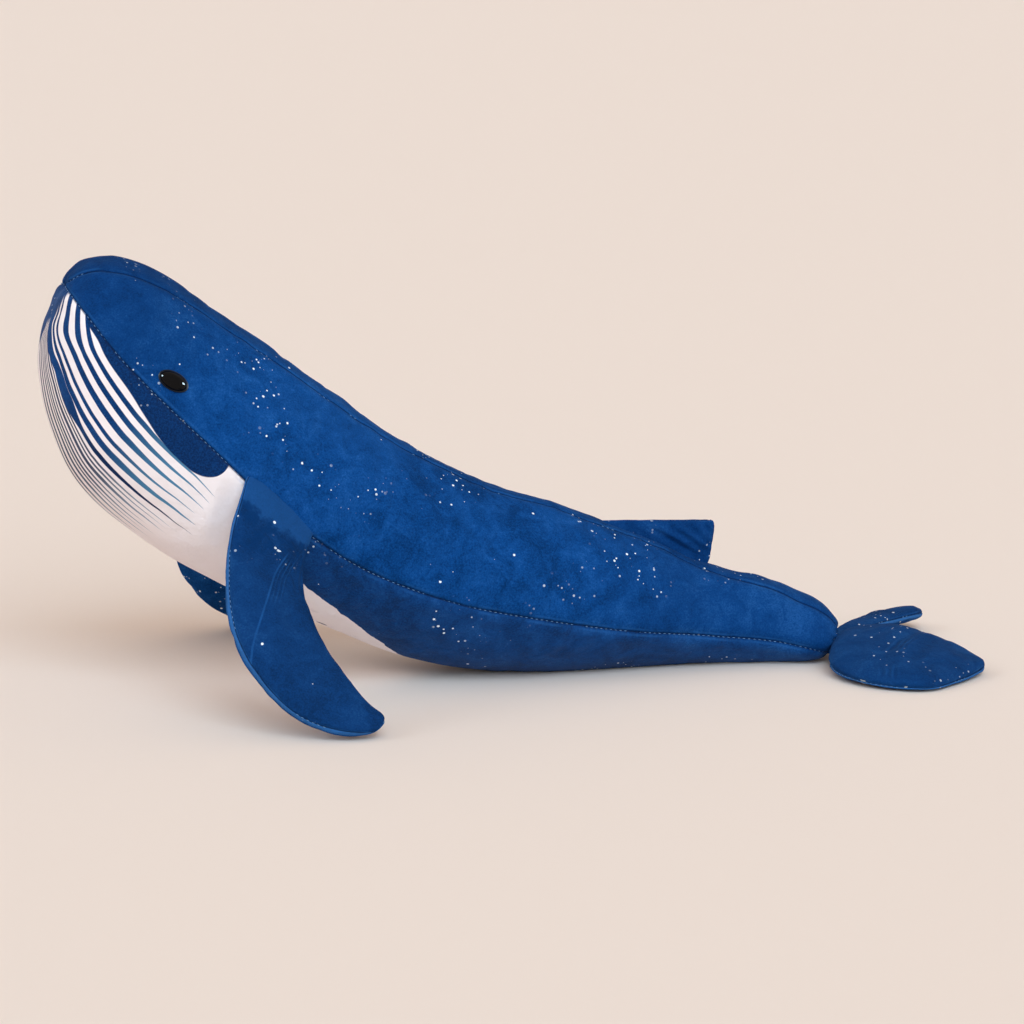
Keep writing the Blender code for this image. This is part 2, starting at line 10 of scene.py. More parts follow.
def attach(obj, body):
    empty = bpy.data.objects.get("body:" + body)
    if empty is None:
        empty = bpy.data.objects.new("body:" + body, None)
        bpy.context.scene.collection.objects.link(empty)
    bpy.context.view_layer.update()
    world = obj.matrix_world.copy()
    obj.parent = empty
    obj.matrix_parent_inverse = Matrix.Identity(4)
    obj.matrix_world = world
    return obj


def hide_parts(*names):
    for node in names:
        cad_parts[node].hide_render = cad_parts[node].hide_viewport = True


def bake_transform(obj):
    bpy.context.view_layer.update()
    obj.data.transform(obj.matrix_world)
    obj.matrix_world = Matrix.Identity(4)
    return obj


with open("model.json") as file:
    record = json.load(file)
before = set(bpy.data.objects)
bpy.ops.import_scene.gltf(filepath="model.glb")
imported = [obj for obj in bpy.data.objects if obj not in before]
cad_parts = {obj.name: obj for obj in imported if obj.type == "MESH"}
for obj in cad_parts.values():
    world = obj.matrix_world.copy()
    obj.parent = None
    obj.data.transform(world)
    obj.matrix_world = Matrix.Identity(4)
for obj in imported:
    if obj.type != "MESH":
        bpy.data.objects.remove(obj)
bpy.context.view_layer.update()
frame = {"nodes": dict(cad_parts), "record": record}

MM = 0.001

# The torso's form: sections from the snout to the tail, close to those of the solids. Top x, top z,
# bottom x and bottom z as shares of the length and height, then half width and shift of half the width.
BODY_LENGTH = 0.459
BODY_HEIGHT = 0.243
BODY_WIDTH = 0.120
FLUKE_REACH = 0.0765
BODY_FRONT = -(BODY_LENGTH + FLUKE_REACH) / 2
SECTION_SHARES = (
    (0.031, 0.937, 0.031, 0.937, 0.00, 0.00),
    (0.037, 0.966, 0.015, 0.895, 0.20, 0.00),
    (0.056, 0.994, 0.002, 0.829, 0.46, 0.00),
    (0.089, 1.000, -0.001, 0.738, 0.70, 0.00),
    (0.139, 0.968, 0.012, 0.611, 0.87, 0.00),
    (0.198, 0.891, 0.045, 0.484, 0.96, 0.00),
    (0.270, 0.794, 0.105, 0.371, 1.00, 0.00),
    (0.349, 0.680, 0.195, 0.261, 1.00, 0.00),
    (0.441, 0.556, 0.315, 0.147, 0.97, 0.00),
    (0.541, 0.453, 0.443, 0.046, 0.92, 0.00),
    (0.643, 0.386, 0.579, -0.005, 0.84, 0.00),
    (0.746, 0.307, 0.708, -0.010, 0.68, 0.00),
    (0.837, 0.229, 0.812, -0.010, 0.53, -0.02),
    (0.909, 0.193, 0.897, -0.010, 0.47, -0.09),
    (0.962, 0.150, 0.942, -0.010, 0.43, -0.16),
    (0.990, 0.100, 0.969, 0.004, 0.29, -0.19),
    (0.988, 0.054, 0.988, 0.054, 0.00, -0.20),
)
BACK_SEAM_SHARES = (
    0.32, 0.28, 0.215, 0.18, 0.145, 0.12, 0.115, 0.105, 0.090,
    0.075, 0.070, 0.085, 0.13, 0.18, 0.22, 0.24, 0.26,
)
SIDE_SEAM_SHARES = (
    0.40, 0.415, 0.4455, 0.462, 0.4735, 0.4715, 0.4905, 0.532, 0.570,
    0.560, 0.560, 0.580, 0.570, 0.590, 0.620, 0.660, 0.680,
)
PRINT_TOP_SHARES = (0.400, 0.400, 0.410, 0.430, 0.455, 0.462, 0.480, 0.530, 0.570)
BODY_ROWS = 212
GUSSET_COLUMNS = 12
SIDE_COLUMNS = 22
UNDERSIDE_COLUMNS = 48

# Flippers, fin and flukes: ribs from root to tip. The rib's middle out, back and off the hinge, its
# run from edge to edge, and how full it is there; sizes in metres.
FABRIC = 0.00195
TIP_ROUND = 0.0024
FLIPPER_SIZES = (0.150, 0.150, 0.150, 0.050, 0.050, 0.050, 0.0050)
FLIPPER_RIB_SHARES = (
    (0.000, 0.000, 0.000, 0.00, 1.00, 0.00, 0.15),
    (0.166, 0.044, 0.030, -0.27, 0.82, -0.19, 0.70),
    (0.302, 0.096, 0.023, -0.31, 0.78, -0.28, 0.90),
    (0.422, 0.176, 0.013, -0.39, 0.81, -0.34, 1.00),
    (0.509, 0.264, 0.000, -0.46, 0.79, -0.38, 1.00),
    (0.582, 0.375, -0.030, -0.50, 0.76, -0.40, 0.95),
    (0.636, 0.488, -0.067, -0.49, 0.64, -0.38, 0.85),
    (0.652, 0.570, -0.107, -0.44, 0.50, -0.33, 0.70),
    (0.660, 0.612, -0.135, -0.31, 0.28, -0.19, 0.45),
    (0.657, 0.642, -0.152, -0.13, 0.12, -0.08, 0.15),
)
FIN_SIZES = (0.022, 0.062, 0.0, 0.062, 0.062, 0.062, 0.0026)
FIN_RIB_SHARES = (
    (0.00, 0.000, 0.0, 0.0, 1.000, 0.0, 0.30),
    (0.25, 0.098, 0.0, 0.0, 0.755, 0.0, 0.85),
    (0.50, 0.196, 0.0, 0.0, 0.510, 0.0, 1.00),
    (0.75, 0.295, 0.0, 0.0, 0.265, 0.0, 0.80),
    (0.90, 0.350, 0.0, 0.0, 0.115, 0.0, 0.55),
    (0.97, 0.372, 0.0, 0.0, 0.060, 0.0, 0.30),
)
FLUKE_SIZES = (FLUKE_REACH, 0.098, 0.098, 0.058, 0.058, 0.058, 0.0076)
LEFT_FLUKE_RIB_SHARES = (
    (-0.030, 0.100, 0.000, -0.050, 0.300, 0.000, 0.20),
    (-0.090, 0.190, 0.014, -0.380, 0.620, -0.109, 0.50),
    (-0.035, 0.300, 0.018, -0.620, 0.980, -0.195, 0.80),
    (0.115, 0.434, 0.012, -0.700, 1.240, -0.219, 1.00),
    (0.320, 0.556, -0.006, -0.638, 1.328, -0.181, 1.00),
    (0.504, 0.638, -0.022, -0.534, 1.190, -0.133, 0.85),
    (0.690, 0.633, -0.035, -0.362, 0.790, -0.074, 0.60),
    (0.864, 0.624, -0.036, -0.043, 0.115, -0.010, 0.30),
)
RIGHT_FLUKE_RIB_SHARES = (
    (-0.030, 0.079, 0.000, 0.000, 0.250, 0.000, 0.15),
    (0.100, 0.209, 0.006, -0.052, 0.370, -0.078, 0.40),
    (0.250, 0.362, 0.002, -0.086, 0.520, -0.129, 0.50),
    (0.399, 0.490, -0.002, -0.086, 0.580, -0.155, 0.55),
    (0.535, 0.590, 0.000, -0.052, 0.640, -0.141, 0.60),
    (0.675, 0.645, 0.012, 0.000, 0.610, -0.121, 0.55),
    (0.790, 0.650, 0.030, 0.052, 0.430, -0.069, 0.40),
    (0.862, 0.628, 0.044, 0.069, 0.170, -0.026, 0.15),
)
FLUKE_UNDER_SHARE = 0.3
FLIPPER_SEAMS = (-13.0, 0.0)
LEFT_FLUKE_SEAMS = (0.0, 2.0)
RIGHT_FLUKE_SEAMS = (6.0, -24.0)
FLUKE_ROOT = {"reach": 0.022, "narrow": 0.9}
FIN_ROOT = {"narrow": -0.39, "lean": -1.0}
LEFT_FLIPPER_OUT = (-0.4556, -0.7349, -0.5023)
RIGHT_FLIPPER_OUT = (-0.4556, 0.7349, -0.5023)
FIN_OUT = (0.4072, 0.0004, 0.9133)
LEFT_FLUKE_OUT = (0.9989, -0.0467, -0.0046)
RIGHT_FLUKE_OUT = (0.998, -0.0467, -0.043)

# Each limb's step between rows, columns to a panel, most that its stuffing swells it, how deep its fibre
# lies under the skin, and a length past the hinge
LIMBS = {
    "left_flipper": (0.0021, 26, 0.0022, 0.0018, 0.014),
    "right_flipper": (0.0021, 26, 0.0022, 0.0018, 0.014),
    "dorsal_fin": (0.0013, 32, 0.0012, 0.0014, 0.006),
    "left_fluke": (0.0021, 32, 0.0022, 0.0026, 0.014),
    "right_fluke": (0.0021, 32, 0.0022, 0.0022, 0.014),
}
BEND_START = 0.002
TORSO_SWELL = 0.0030
TORSO_FIBRE_DEPTH = 0.0022
TORSO_CLOTH = 0.0014
LIMB_CLOTH = 0.0011
PRESSURE = 4.0
SWELLING_FRAMES = 20

# Eyes: where they sit on the form, their half sizes, and the rim's round and rise as shares of those
EYE_PLACE = (5.00, 0.406)
EYE_PITCH = math.radians(31.0)
EYE_SIZE = (0.0080, 0.0047, 0.0042)
EYE_SUNK = 0.0004
RIM_ROUND_SHARE = 0.11
RIM_RISE_SHARE = 0.08

STITCH_PITCH = 0.0031
STITCH_SIZE = (0.80 * MM, 0.20 * MM, 0.20 * MM)

# Floor, light and camera. Each sun has its strength, its size in degrees and where it comes from; the
# glints are seen only as highlights.
FLOOR_COLOUR = (0.823, 0.716, 0.651)
SKY_COLOUR = (1.17, 0.95, 0.79)
SKY_STRENGTH = 0.57
SUN_COLOUR = (0.77, 1.03, 1.21)
SUNS = {
    "key": (2.1, 50.0, (0.02, -0.88, 0.62)),
    "side": (0.38, 20.0, (-1.15, -0.10, 0.70)),
    "left_glint": (12.0, 24.0, (-1.10, -0.15, 0.62)),
    "right_glint": (12.0, 24.0, (0.95, -0.30, 0.08)),
}
CAMERA_AZIMUTH = math.radians(-13.0)
CAMERA_ELEVATION = math.radians(10.5)
CAMERA_DISTANCE = 2.0
CAMERA_AIM = (-0.00225, 0.0, 0.0916)
PIXEL = 0.57 * MM
FRAME_PIXELS = 1024
SENSOR = 36.0


def smooth(table, place, before, after):
    """Rows of numbers joined by one smooth curve, read at places counted in rows."""
    rows = np.vstack([before, table, after])
    place = np.asarray(place, dtype=float)
    first = np.clip(place.astype(int), 0, len(table) - 2)
    step = (place - first)[..., None]
    a, b, c, d = (rows[first + k] for k in range(4))
    return 0.5 * (2 * b + (c - a) * step + (2 * a - 5 * b + 4 * c - d) * step ** 2
                  + (3 * b - a - 3 * c + d) * step ** 3)


def unit(vectors):
    return vectors / np.maximum(np.linalg.norm(vectors, axis=-1, keepdims=True), 1e-12)


def ease(value, low, high):
    step = np.clip((value - low) / (high - low), 0, 1)
    return step * step * (3 - 2 * step)


def linked(data, name):
    """An object of this mesh in the scene, with smooth faces."""
    for face in data.polygons:
        face.use_smooth = True
    thing = bpy.data.objects.new(name, data)
    bpy.context.scene.collection.objects.link(thing)
    return thing


def built(mesh, name):
    data = bpy.data.meshes.new(name)
    mesh.to_mesh(data)
    mesh.free()
    return linked(data, name)


def give_finish(piece, finish):
    piece.data.materials.clear()
    piece.data.materials.append(finish)


class Torso:
    """The sewn body: a place along it and a turn round it, 0 on the back and 1 on the belly."""

    def __init__(self):
        sizes = (BODY_LENGTH, BODY_HEIGHT, BODY_LENGTH, BODY_HEIGHT, BODY_WIDTH / 2, BODY_WIDTH / 2)
        self.sections = np.array(SECTION_SHARES) * np.array(sizes)
        self.sections += np.array((BODY_FRONT, 0, BODY_FRONT, 0, 0, 0))
        self.seams = np.stack([BACK_SEAM_SHARES, SIDE_SEAM_SHARES], axis=-1)
        self.count = len(self.sections) - 1
        fine = np.linspace(0, self.count, 3000)
        lengths = 0
        for turn in (0.05, 0.5, 0.95):
            steps = np.diff(self.raw(fine, np.full_like(fine, turn)), axis=0)
            lengths = lengths + np.linalg.norm(steps, axis=-1) / 3
        self.fine = fine
        self.arcs = np.concatenate([[0], np.cumsum(lengths)])

    def section(self, place):
        swap = [2, 3, 0, 1, 4, 5]
        mirror = np.array((1, 1, 1, 1, -1, 1))
        return smooth(self.sections, place, self.sections[1][swap] * mirror, self.sections[-2][swap] * mirror)

    def seam_turns(self, place):
        return smooth(self.seams, place, self.seams[0], self.seams[-1])

    def raw(self, place, turn):
        row = self.section(place)
        angle = math.pi * turn
        return np.stack([
            (row[..., 0] + row[..., 2]) / 2 + (row[..., 0] - row[..., 2]) / 2 * np.cos(angle),
            row[..., 5] - row[..., 4] * np.sin(angle),
            (row[..., 1] + row[..., 3]) / 2 + (row[..., 1] - row[..., 3]) / 2 * np.cos(angle)], axis=-1)

    def normal(self, place, turn):
        nudge = 0.001
        place = np.clip(place, 0.02, self.count - 0.02)
        along = self.raw(place + nudge, turn) - self.raw(place - nudge, turn)
        round_it = self.raw(place, turn + nudge) - self.raw(place, turn - nudge)
        return unit(np.cross(round_it, along))

    def arc(self, place):
        return np.interp(place, self.fine, self.arcs)

    def rows(self, count):
        return np.interp(np.linspace(0, self.arcs[-1], count + 1), self.arcs, self.fine)

    def half_girth(self, place):
        row = self.section(place)
        height = np.hypot(row[..., 0] - row[..., 2], row[..., 1] - row[..., 3]) / 2
        return math.pi * (height + row[..., 4]) / 2

    def seam_distance(self, place, turn):
        """How far a point lies from its nearest seam, in metres."""
        seams = self.seam_turns(place)
        half = 1 - np.abs(1 - np.mod(turn, 2))
        return np.min(np.abs(half[..., None] - seams), axis=-1) * self.half_girth(place)


class Blade:
    """A stuffed flipper, fin or fluke on its hinge: a place along its ribs and an angle round them."""

    def __init__(self, side, joint, back, out, ribs, sizes, under=1.0, seams=(0.0, 0.0), reach=0.010,
                 narrow=0.0, lean=0.0):
        self.hinge = np.array(joint, dtype=float)
        self.back = unit(np.array(back, dtype=float))
        out = np.array(out, dtype=float)
        self.out = unit(out - self.back * (out @ self.back))
        self.off = np.cross(self.back, self.out) * side
        self.side = side
        self.table = np.array(ribs) * np.array(sizes)
        self.under = under
        self.reach = reach
        self.narrow = narrow
        self.lean = lean
        self.count = len(ribs) - 1
        self.first_seam = math.radians(seams[0])
        self.last_seam = math.pi + math.radians(seams[1])

    def rib(self, place):
        table = self.table
        row = smooth(table, np.clip(place, 0, self.count), 2 * table[0] - table[1], 2 * table[-1] - table[-2])
        return row[..., 0:3], row[..., 3:6], np.maximum(row[..., 6], 0)

    def surface(self, place, angle):
        """Points of the stuffed blade; below place 0 it runs on into the body it is sewn to."""
        place, angle = np.broadcast_arrays(np.asarray(place, float), np.asarray(angle, float))
        middle, chord, fullness = self.rib(place)
        nudge = 0.01
        inside = np.clip(place, 0, self.count)
        ahead, behind = self.rib(inside + nudge), self.rib(inside - nudge)
        along = unit(ahead[0] - behind[0] - 0.5 * np.cos(angle)[..., None] * (ahead[1] - behind[1]))
        normal = unit(np.cross(along, chord))
        tip = np.clip(place - self.count, 0, 1) * math.pi / 2
        root = np.minimum(place, 0)
        less = (root * self.narrow)[..., None]
        middle = middle + chord * less * self.lean / 2
        chord = chord * (1 + less)
        run = np.linalg.norm(chord, axis=-1)
        end_round = np.minimum(run / 2, TIP_ROUND)
        middle = middle + along * (end_round * np.sin(tip) - end_round * (place > self.count))[..., None]
        middle = middle + np.array((self.reach, 0, 0)) * root[..., None]
        share = -0.5 * np.cos(angle) * np.cos(tip)
        rise = np.sin(angle)
        height = np.where(rise > 0, fullness, fullness * self.under) + FABRIC
        lift = np.sign(rise) * np.abs(rise) ** 0.8 * height * np.cos(tip)
        local = middle + chord * share[..., None] + normal * lift[..., None]
        return self.hinge + local @ np.stack([self.out, self.back, self.off])

    def arc(self, place):
        fine = np.linspace(0, self.count, 400)
        middles = self.rib(fine)[0]
        lengths = np.concatenate([[0], np.cumsum(np.linalg.norm(np.diff(middles, axis=0), axis=-1))])
        return np.interp(place, fine, lengths)

    def rows(self, pitch):
        """Places at even steps along the blade, with the root before them and the tip after."""
        length = self.arc(self.count)
        fine = np.linspace(0, self.count, 400)
        steps = max(int(length / pitch), 8)
        even = np.interp(np.linspace(0, length, steps + 1), self.arc(fine), fine)
        even = even[self.arc(even) < length - TIP_ROUND]
        tip = self.count + np.array((0.001, 0.2, 0.4, 0.6, 0.8, 1.0))
        return np.concatenate([[-0.6, -0.4, -0.2], even, tip])

    def seam_distance(self, place, angle):
        _, chord, fullness = self.rib(place)
        run = np.linalg.norm(chord, axis=-1) / 2 + fullness
        turned = np.mod(angle, 2 * math.pi)
        gaps = []
        for seam in (self.first_seam, self.last_seam):
            gap = np.abs(np.mod(turned - seam + math.pi, 2 * math.pi) - math.pi)
            gaps.append(gap * run * 0.7)
        return np.minimum(*gaps)


class Skin:
    """Panels sewn edge to edge into one closed skin, before they are parted again as pieces."""

    def __init__(self, name, rows, panels, point):
        """panels: (name, columns, functions from rows to the turns of its first and last edge)."""
        mesh = bmesh.new()
        along = mesh.verts.layers.float.new("along")
        across = mesh.verts.layers.float.new("across")
        panel_of = mesh.faces.layers.int.new("panel")
        form = mesh.loops.layers.uv.new("Form")
        for index, (_, columns, first_edge, last_edge) in enumerate(panels):
            first, last = first_edge(rows), last_edge(rows)
            made = bmesh.ops.create_grid(mesh, x_segments=columns, y_segments=len(rows) - 1, size=1.0)
            for vertex in made["verts"]:
                row = round((vertex.co.y + 1) / 2 * (len(rows) - 1))
                share = (vertex.co.x + 1) / 2
                vertex[along] = rows[row]
                vertex[across] = first[row] + (last[row] - first[row]) * share
            for face in {face for vertex in made["verts"] for face in vertex.link_faces}:
                face[panel_of] = index
                for loop in face.loops:
                    loop[form].uv = (loop.vert[along], loop.vert[across])
        places = np.array([vertex[along] for vertex in mesh.verts])
        turns = np.array([vertex[across] for vertex in mesh.verts])
        for vertex, spot in zip(mesh.verts, point(places, turns)):
            vertex.co = spot
        bmesh.ops.remove_doubles(mesh, verts=mesh.verts, dist=0.00002)
        bmesh.ops.dissolve_degenerate(mesh, edges=mesh.edges, dist=0.00001)
        holes = [edge for edge in mesh.edges if edge.is_boundary]
        filled = bmesh.ops.holes_fill(mesh, edges=holes, sides=0)["faces"]
        for face in filled:
            face[panel_of] = -1
        bmesh.ops.recalc_face_normals(mesh, faces=mesh.faces)
        if mesh.calc_volume(signed=True) < 0:
            bmesh.ops.reverse_faces(mesh, faces=mesh.faces)
        self.object = built(mesh, name)
        self.places = self.numbers("along")
        self.turns = self.numbers("across")

    def numbers(self, attribute):
        data = self.object.data
        values = np.zeros(len(data.vertices), np.float32)
        data.attributes[attribute].data.foreach_get("value", values)
        return values.astype(float)

    def points(self, data=None):
        data = data or self.object.data
        values = np.zeros(len(data.vertices) * 3, np.float32)
        data.vertices.foreach_get("co", values)
        return values.reshape(-1, 3).astype(float)

    def move_to(self, points):
        self.object.data.vertices.foreach_set("co", points.astype(np.float32).ravel())
        self.object.data.update()

    def normals(self):
        values = np.zeros(len(self.object.data.vertices) * 3, np.float32)
        self.object.data.vertex_normals.foreach_get("vector", values)
        return values.reshape(-1, 3).astype(float)

    def fill(self, held, slack):
        """Prepare the stuffing: cloth under pressure, held by its seams, a little larger than its form."""
        group = self.object.vertex_groups.new(name="held")
        for index, weight in enumerate(held):
            if weight > 0.001:
                group.add([index], float(weight), "REPLACE")
        cloth = self.object.modifiers.new("stuffing", "CLOTH")
        settings = cloth.settings
        settings.vertex_group_mass = "held"
        settings.use_pressure = True
        settings.uniform_pressure_force = PRESSURE
        settings.shrink_min = -slack
        settings.effector_weights.gravity = 0.0
        settings.quality = 6
        settings.bending_stiffness = 0.4
        cloth.point_cache.frame_start = 1
        cloth.point_cache.frame_end = SWELLING_FRAMES

    def settle(self, cap):
        """Take the swelling over into the mesh, none of it inward and no point further than the cap."""
        graph = bpy.context.evaluated_depsgraph_get()
        stuffed = self.object.evaluated_get(graph)
        moved = self.points(stuffed.data)
        start, normals = self.points(), self.normals()
        shift = moved - start
        inward = np.minimum(np.sum(shift * normals, axis=-1), 0)
        shift -= normals * inward[:, None]
        reach = np.linalg.norm(shift, axis=-1, keepdims=True)
        self.object.modifiers.clear()
        self.object.vertex_groups.clear()
        self.move_to(start + shift * np.minimum(1, cap / np.maximum(reach, 1e-9)))


def apply_modifiers(thing):
    """Take the modifiers' result over as the piece's own mesh."""
    graph = bpy.context.evaluated_depsgraph_get()
    data = bpy.data.meshes.new_from_object(thing.evaluated_get(graph), depsgraph=graph)
    thing.modifiers.clear()
    old = thing.data
    thing.data = data
    data.name = thing.name
    bpy.data.meshes.remove(old)


def part_panel(skin, index, name, maps, thickness):
    """One panel of a skin as its own piece of fabric, with its maps and its thickness."""
    mesh = bmesh.new()
    mesh.from_mesh(skin.object.data)
    panel_of = mesh.faces.layers.int["panel"]
    other = [face for face in mesh.faces if face[panel_of] != index]
    bmesh.ops.delete(mesh, geom=other, context="FACES")
    layers = [mesh.loops.layers.uv.new(map_name) for map_name, _ in maps]
    form = mesh.loops.layers.uv["Form"]
    loops = [loop for face in mesh.faces for loop in face.loops]
    along = np.array([loop[form].uv[0] for loop in loops])
    across = np.array([loop[form].uv[1] for loop in loops])
    for layer, (_, function) in zip(layers, maps):
        first, second = function(along, across)
        for loop, u, v in zip(loops, first, second):
            loop[layer].uv = (u, v)
    piece = built(mesh, name)
    finer = piece.modifiers.new("finer", "SUBSURF")
    finer.levels = finer.render_levels = 1
    finer.uv_smooth = "PRESERVE_BOUNDARIES"
    wall = piece.modifiers.new("wall", "SOLIDIFY")
    wall.thickness = thickness
    wall.offset = -1.0
    apply_modifiers(piece)
    return piece


def stitches(name, points, normals, sink, missing):
    """Small thread stitches along a seam, end to end, with some left out where the noise is low."""
    steps = np.linalg.norm(np.diff(points, axis=0), axis=-1)
    arcs = np.concatenate([[0], np.cumsum(steps)])
    mesh = bmesh.new()
    for spot in np.arange(STITCH_PITCH, arcs[-1] - STITCH_PITCH, STITCH_PITCH):
        centre = Vector([np.interp(spot, arcs, points[:, k]) for k in range(3)])
        if noise.noise(centre * 55.0) < missing:
            continue
        ahead = Vector([np.interp(spot + MM, arcs, points[:, k]) for k in range(3)])
        up = Vector([np.interp(spot, arcs, normals[:, k]) for k in range(3)]).normalized()
        along = (ahead - centre).normalized()
        across = up.cross(along).normalized()
        up = along.cross(across)
        turn = Matrix((along, across, up)).transposed().to_4x4()
        size = Matrix.Diagonal((*STITCH_SIZE, 1.0))
        place = Matrix.Translation(centre + up * sink)
        bmesh.ops.create_uvsphere(mesh, u_segments=6, v_segments=4, radius=1.0, matrix=place @ turn @ size)
    thread = built(mesh, name)
    give_finish(thread, THREAD)
    return thread


class Value:
    """A number in a material; Python's operators on it add Math nodes."""

    def __init__(self, paint, socket):
        self.paint = paint
        self.socket = socket

    def math(self, operation, *values):
        return self.paint.math(operation, self, *values)

    def __add__(self, other):
        return self.math("ADD", other)

    __radd__ = __add__

    def __mul__(self, other):
        return self.math("MULTIPLY", other)

    __rmul__ = __mul__

    def __sub__(self, other):
        return self.math("SUBTRACT", other)

    def __rsub__(self, other):
        return self.paint.math("SUBTRACT", other, self)

    def __pow__(self, other):
        return self.math("POWER", other)

    def __abs__(self):
        return self.math("ABSOLUTE")

    def least(self, other):
        return self.math("MINIMUM", other)

    def most(self, other):
        return self.math("MAXIMUM", other)

    def wave(self):
        return self.math("SINE")

    def above(self, low, high):
        """0 below low, 1 above high, smooth between; the other way round if low is the larger."""
        node = self.paint.node("ShaderNodeMapRange", {"interpolation_type": "SMOOTHSTEP"},
                               {0: self, 1: low, 2: high, 3: 0.0, 4: 1.0})
        return Value(self.paint, node.outputs[0])

    def between(self, low, high, soft):
        return self.above(low - soft, low + soft) * self.above(high + soft, high - soft)


class Paint:
    """A material under construction."""

    def __init__(self, name, **constants):
        self.material = bpy.data.materials.new(name)
        self.material.use_nodes = True
        self.tree = self.material.node_tree
        self.shader = self.tree.nodes["Principled BSDF"]
        for socket, value in constants.items():
            self.shader.inputs[socket.replace("_", " ")].default_value = value
        self.place = self.node("ShaderNodeTexCoord").outputs["Object"]

    def put(self, socket, value):
        if isinstance(value, Value):
            value = value.socket
        if isinstance(value, bpy.types.NodeSocket):
            self.tree.links.new(value, socket)
        else:
            socket.default_value = value

    def node(self, kind, settings=None, values=None):
        made = self.tree.nodes.new(kind)
        for name, setting in (settings or {}).items():
            setattr(made, name, setting)
        for key, value in (values or {}).items():
            self.put(made.inputs[key], value)
        return made

    def math(self, operation, *values):
        made = self.node("ShaderNodeMath", {"operation": operation}, dict(enumerate(values)))
        return Value(self, made.outputs[0])

    def noise(self, scale, detail=2.0, roughness=0.5, place=None, distortion=0.0):
        made = self.node("ShaderNodeTexNoise", None, {
            "Vector": self.place if place is None else place, "Scale": scale, "Detail": detail,
            "Roughness": roughness, "Distortion": distortion})
        return Value(self, made.outputs[0])

    def cells(self, scale, place=None):
        return self.node("ShaderNodeTexVoronoi", None, {
            "Vector": self.place if place is None else place, "Scale": scale})

    def stretched(self, scale):
        return self.node("ShaderNodeMapping", None, {"Vector": self.place, "Scale": scale}).outputs[0]

    def split(self, vector):
        made = self.node("ShaderNodeSeparateXYZ", None, {0: vector})
        return [Value(self, socket) for socket in made.outputs]

    def map(self, name):
        return self.split(self.node("ShaderNodeUVMap", {"uv_map": name}).outputs[0])[:2]

    def mix(self, share, first, second):
        """Two colours, the second by its share."""
        made = self.node("ShaderNodeMix", {"data_type": "RGBA"}, {
            0: share, 6: self.colour(first), 7: self.colour(second)})
        return made.outputs[2]

    def colour(self, value):
        return (*value, 1.0) if isinstance(value, tuple) else value

    def bump(self, height, under=None):
        values = {"Height": height, "Distance": 1.0, "Strength": 1.0}
        if under is not None:
            values["Normal"] = under
        return self.node("ShaderNodeBump", None, values).outputs[0]

    def finish(self, **links):
        for socket, value in links.items():
            self.put(self.shader.inputs[socket.replace("_", " ")], value)
        return self.material


BLUE_DEEP = (0.0014, 0.0260, 0.1080)
BLUE_MID = (0.0036, 0.0540, 0.2200)
BLUE_LIGHT = (0.0200, 0.1220, 0.3850)
# SHADED_BLUE darkens whole panels: partly darker cloth and partly painted shade
SHADED_BLUE = (0.0040, 0.0160, 0.0500)
EDGE_BLUE = (0.060, 0.190, 0.430)
SPECK_WHITE = (0.780, 0.850, 0.920)
PRINT_WHITE = (0.870, 0.790, 0.795)
PRINT_SHADE = (0.780, 0.690, 0.700)
PRINT_PATCH = (0.0030, 0.0340, 0.1350)
PRINT_FADED = (0.220, 0.300, 0.400)
PRINT_FLECK = (0.050, 0.045, 0.080)
# Navy of the print, and also the painted shade in the seams, the creases and at the torso's ends
NAVY_PRINT_AND_SHADE = (0.0020, 0.0160, 0.0700)
PRINT_TEAL = (0.070, 0.210, 0.350)
SHEEN_TINT = (0.20, 0.45, 0.90, 1.0)


def specks(paint):
    """Small pale dots: strings of them here and there, and a few alone."""
    veil = (0.050 - abs(paint.noise(8.5, 2.0, 0.5) - 0.51)).above(0.0, 0.030)
    string = veil * paint.noise(15.0, 1.0).above(0.45, 0.53)
    shown = 0.0
    for scale, size, lone in ((310.0, 0.25, 0.0), (200.0, 0.19, 0.03), (90.0, 0.080, 0.25)):
        cell = paint.cells(scale)
        chance = paint.split(cell.outputs["Color"])
        near = (chance[0] * size - Value(paint, cell.outputs["Distance"])).above(-0.015, 0.02)
        kept = (chance[1].above(0.30, 0.34) * string).most(chance[2].above(1.0 - lone, 1.001 - lone))
        shown = near * kept + shown
    return shown.least(1.0)


def blue_print(paint, cloth_and_shade_tone=1.0):
    """Mottled blue like a watercolour wash over short pile, as a colour."""
    wash = paint.noise(9.0, 3.0, 0.6, distortion=0.6)
    mottle = paint.noise(70.0, 4.0, 0.65, distortion=0.8)
    stroke = (1.0 - abs(paint.noise(120.0, 3.0, 0.6, distortion=2.2) - 0.5) * 16.0).most(0.0)
    grain = paint.noise(1050.0, 2.0, 0.7)
    level = wash * 0.8 + mottle * 0.75 + grain * 0.75
    blue = paint.mix(level.above(0.86, 1.22), BLUE_DEEP, BLUE_MID)
    blue = paint.mix(level.above(1.16, 1.55) * 0.75, blue, BLUE_LIGHT)
    blue = paint.mix(stroke * mottle.above(0.45, 0.65) * 0.16, blue, BLUE_LIGHT)
    # Below a tone of 1 the whole blue is darkened towards SHADED_BLUE: partly darker cloth, partly painted
    # shade
    if cloth_and_shade_tone < 1.0:
        blue = paint.mix(1.0 - cloth_and_shade_tone, blue, SHADED_BLUE)
    return blue


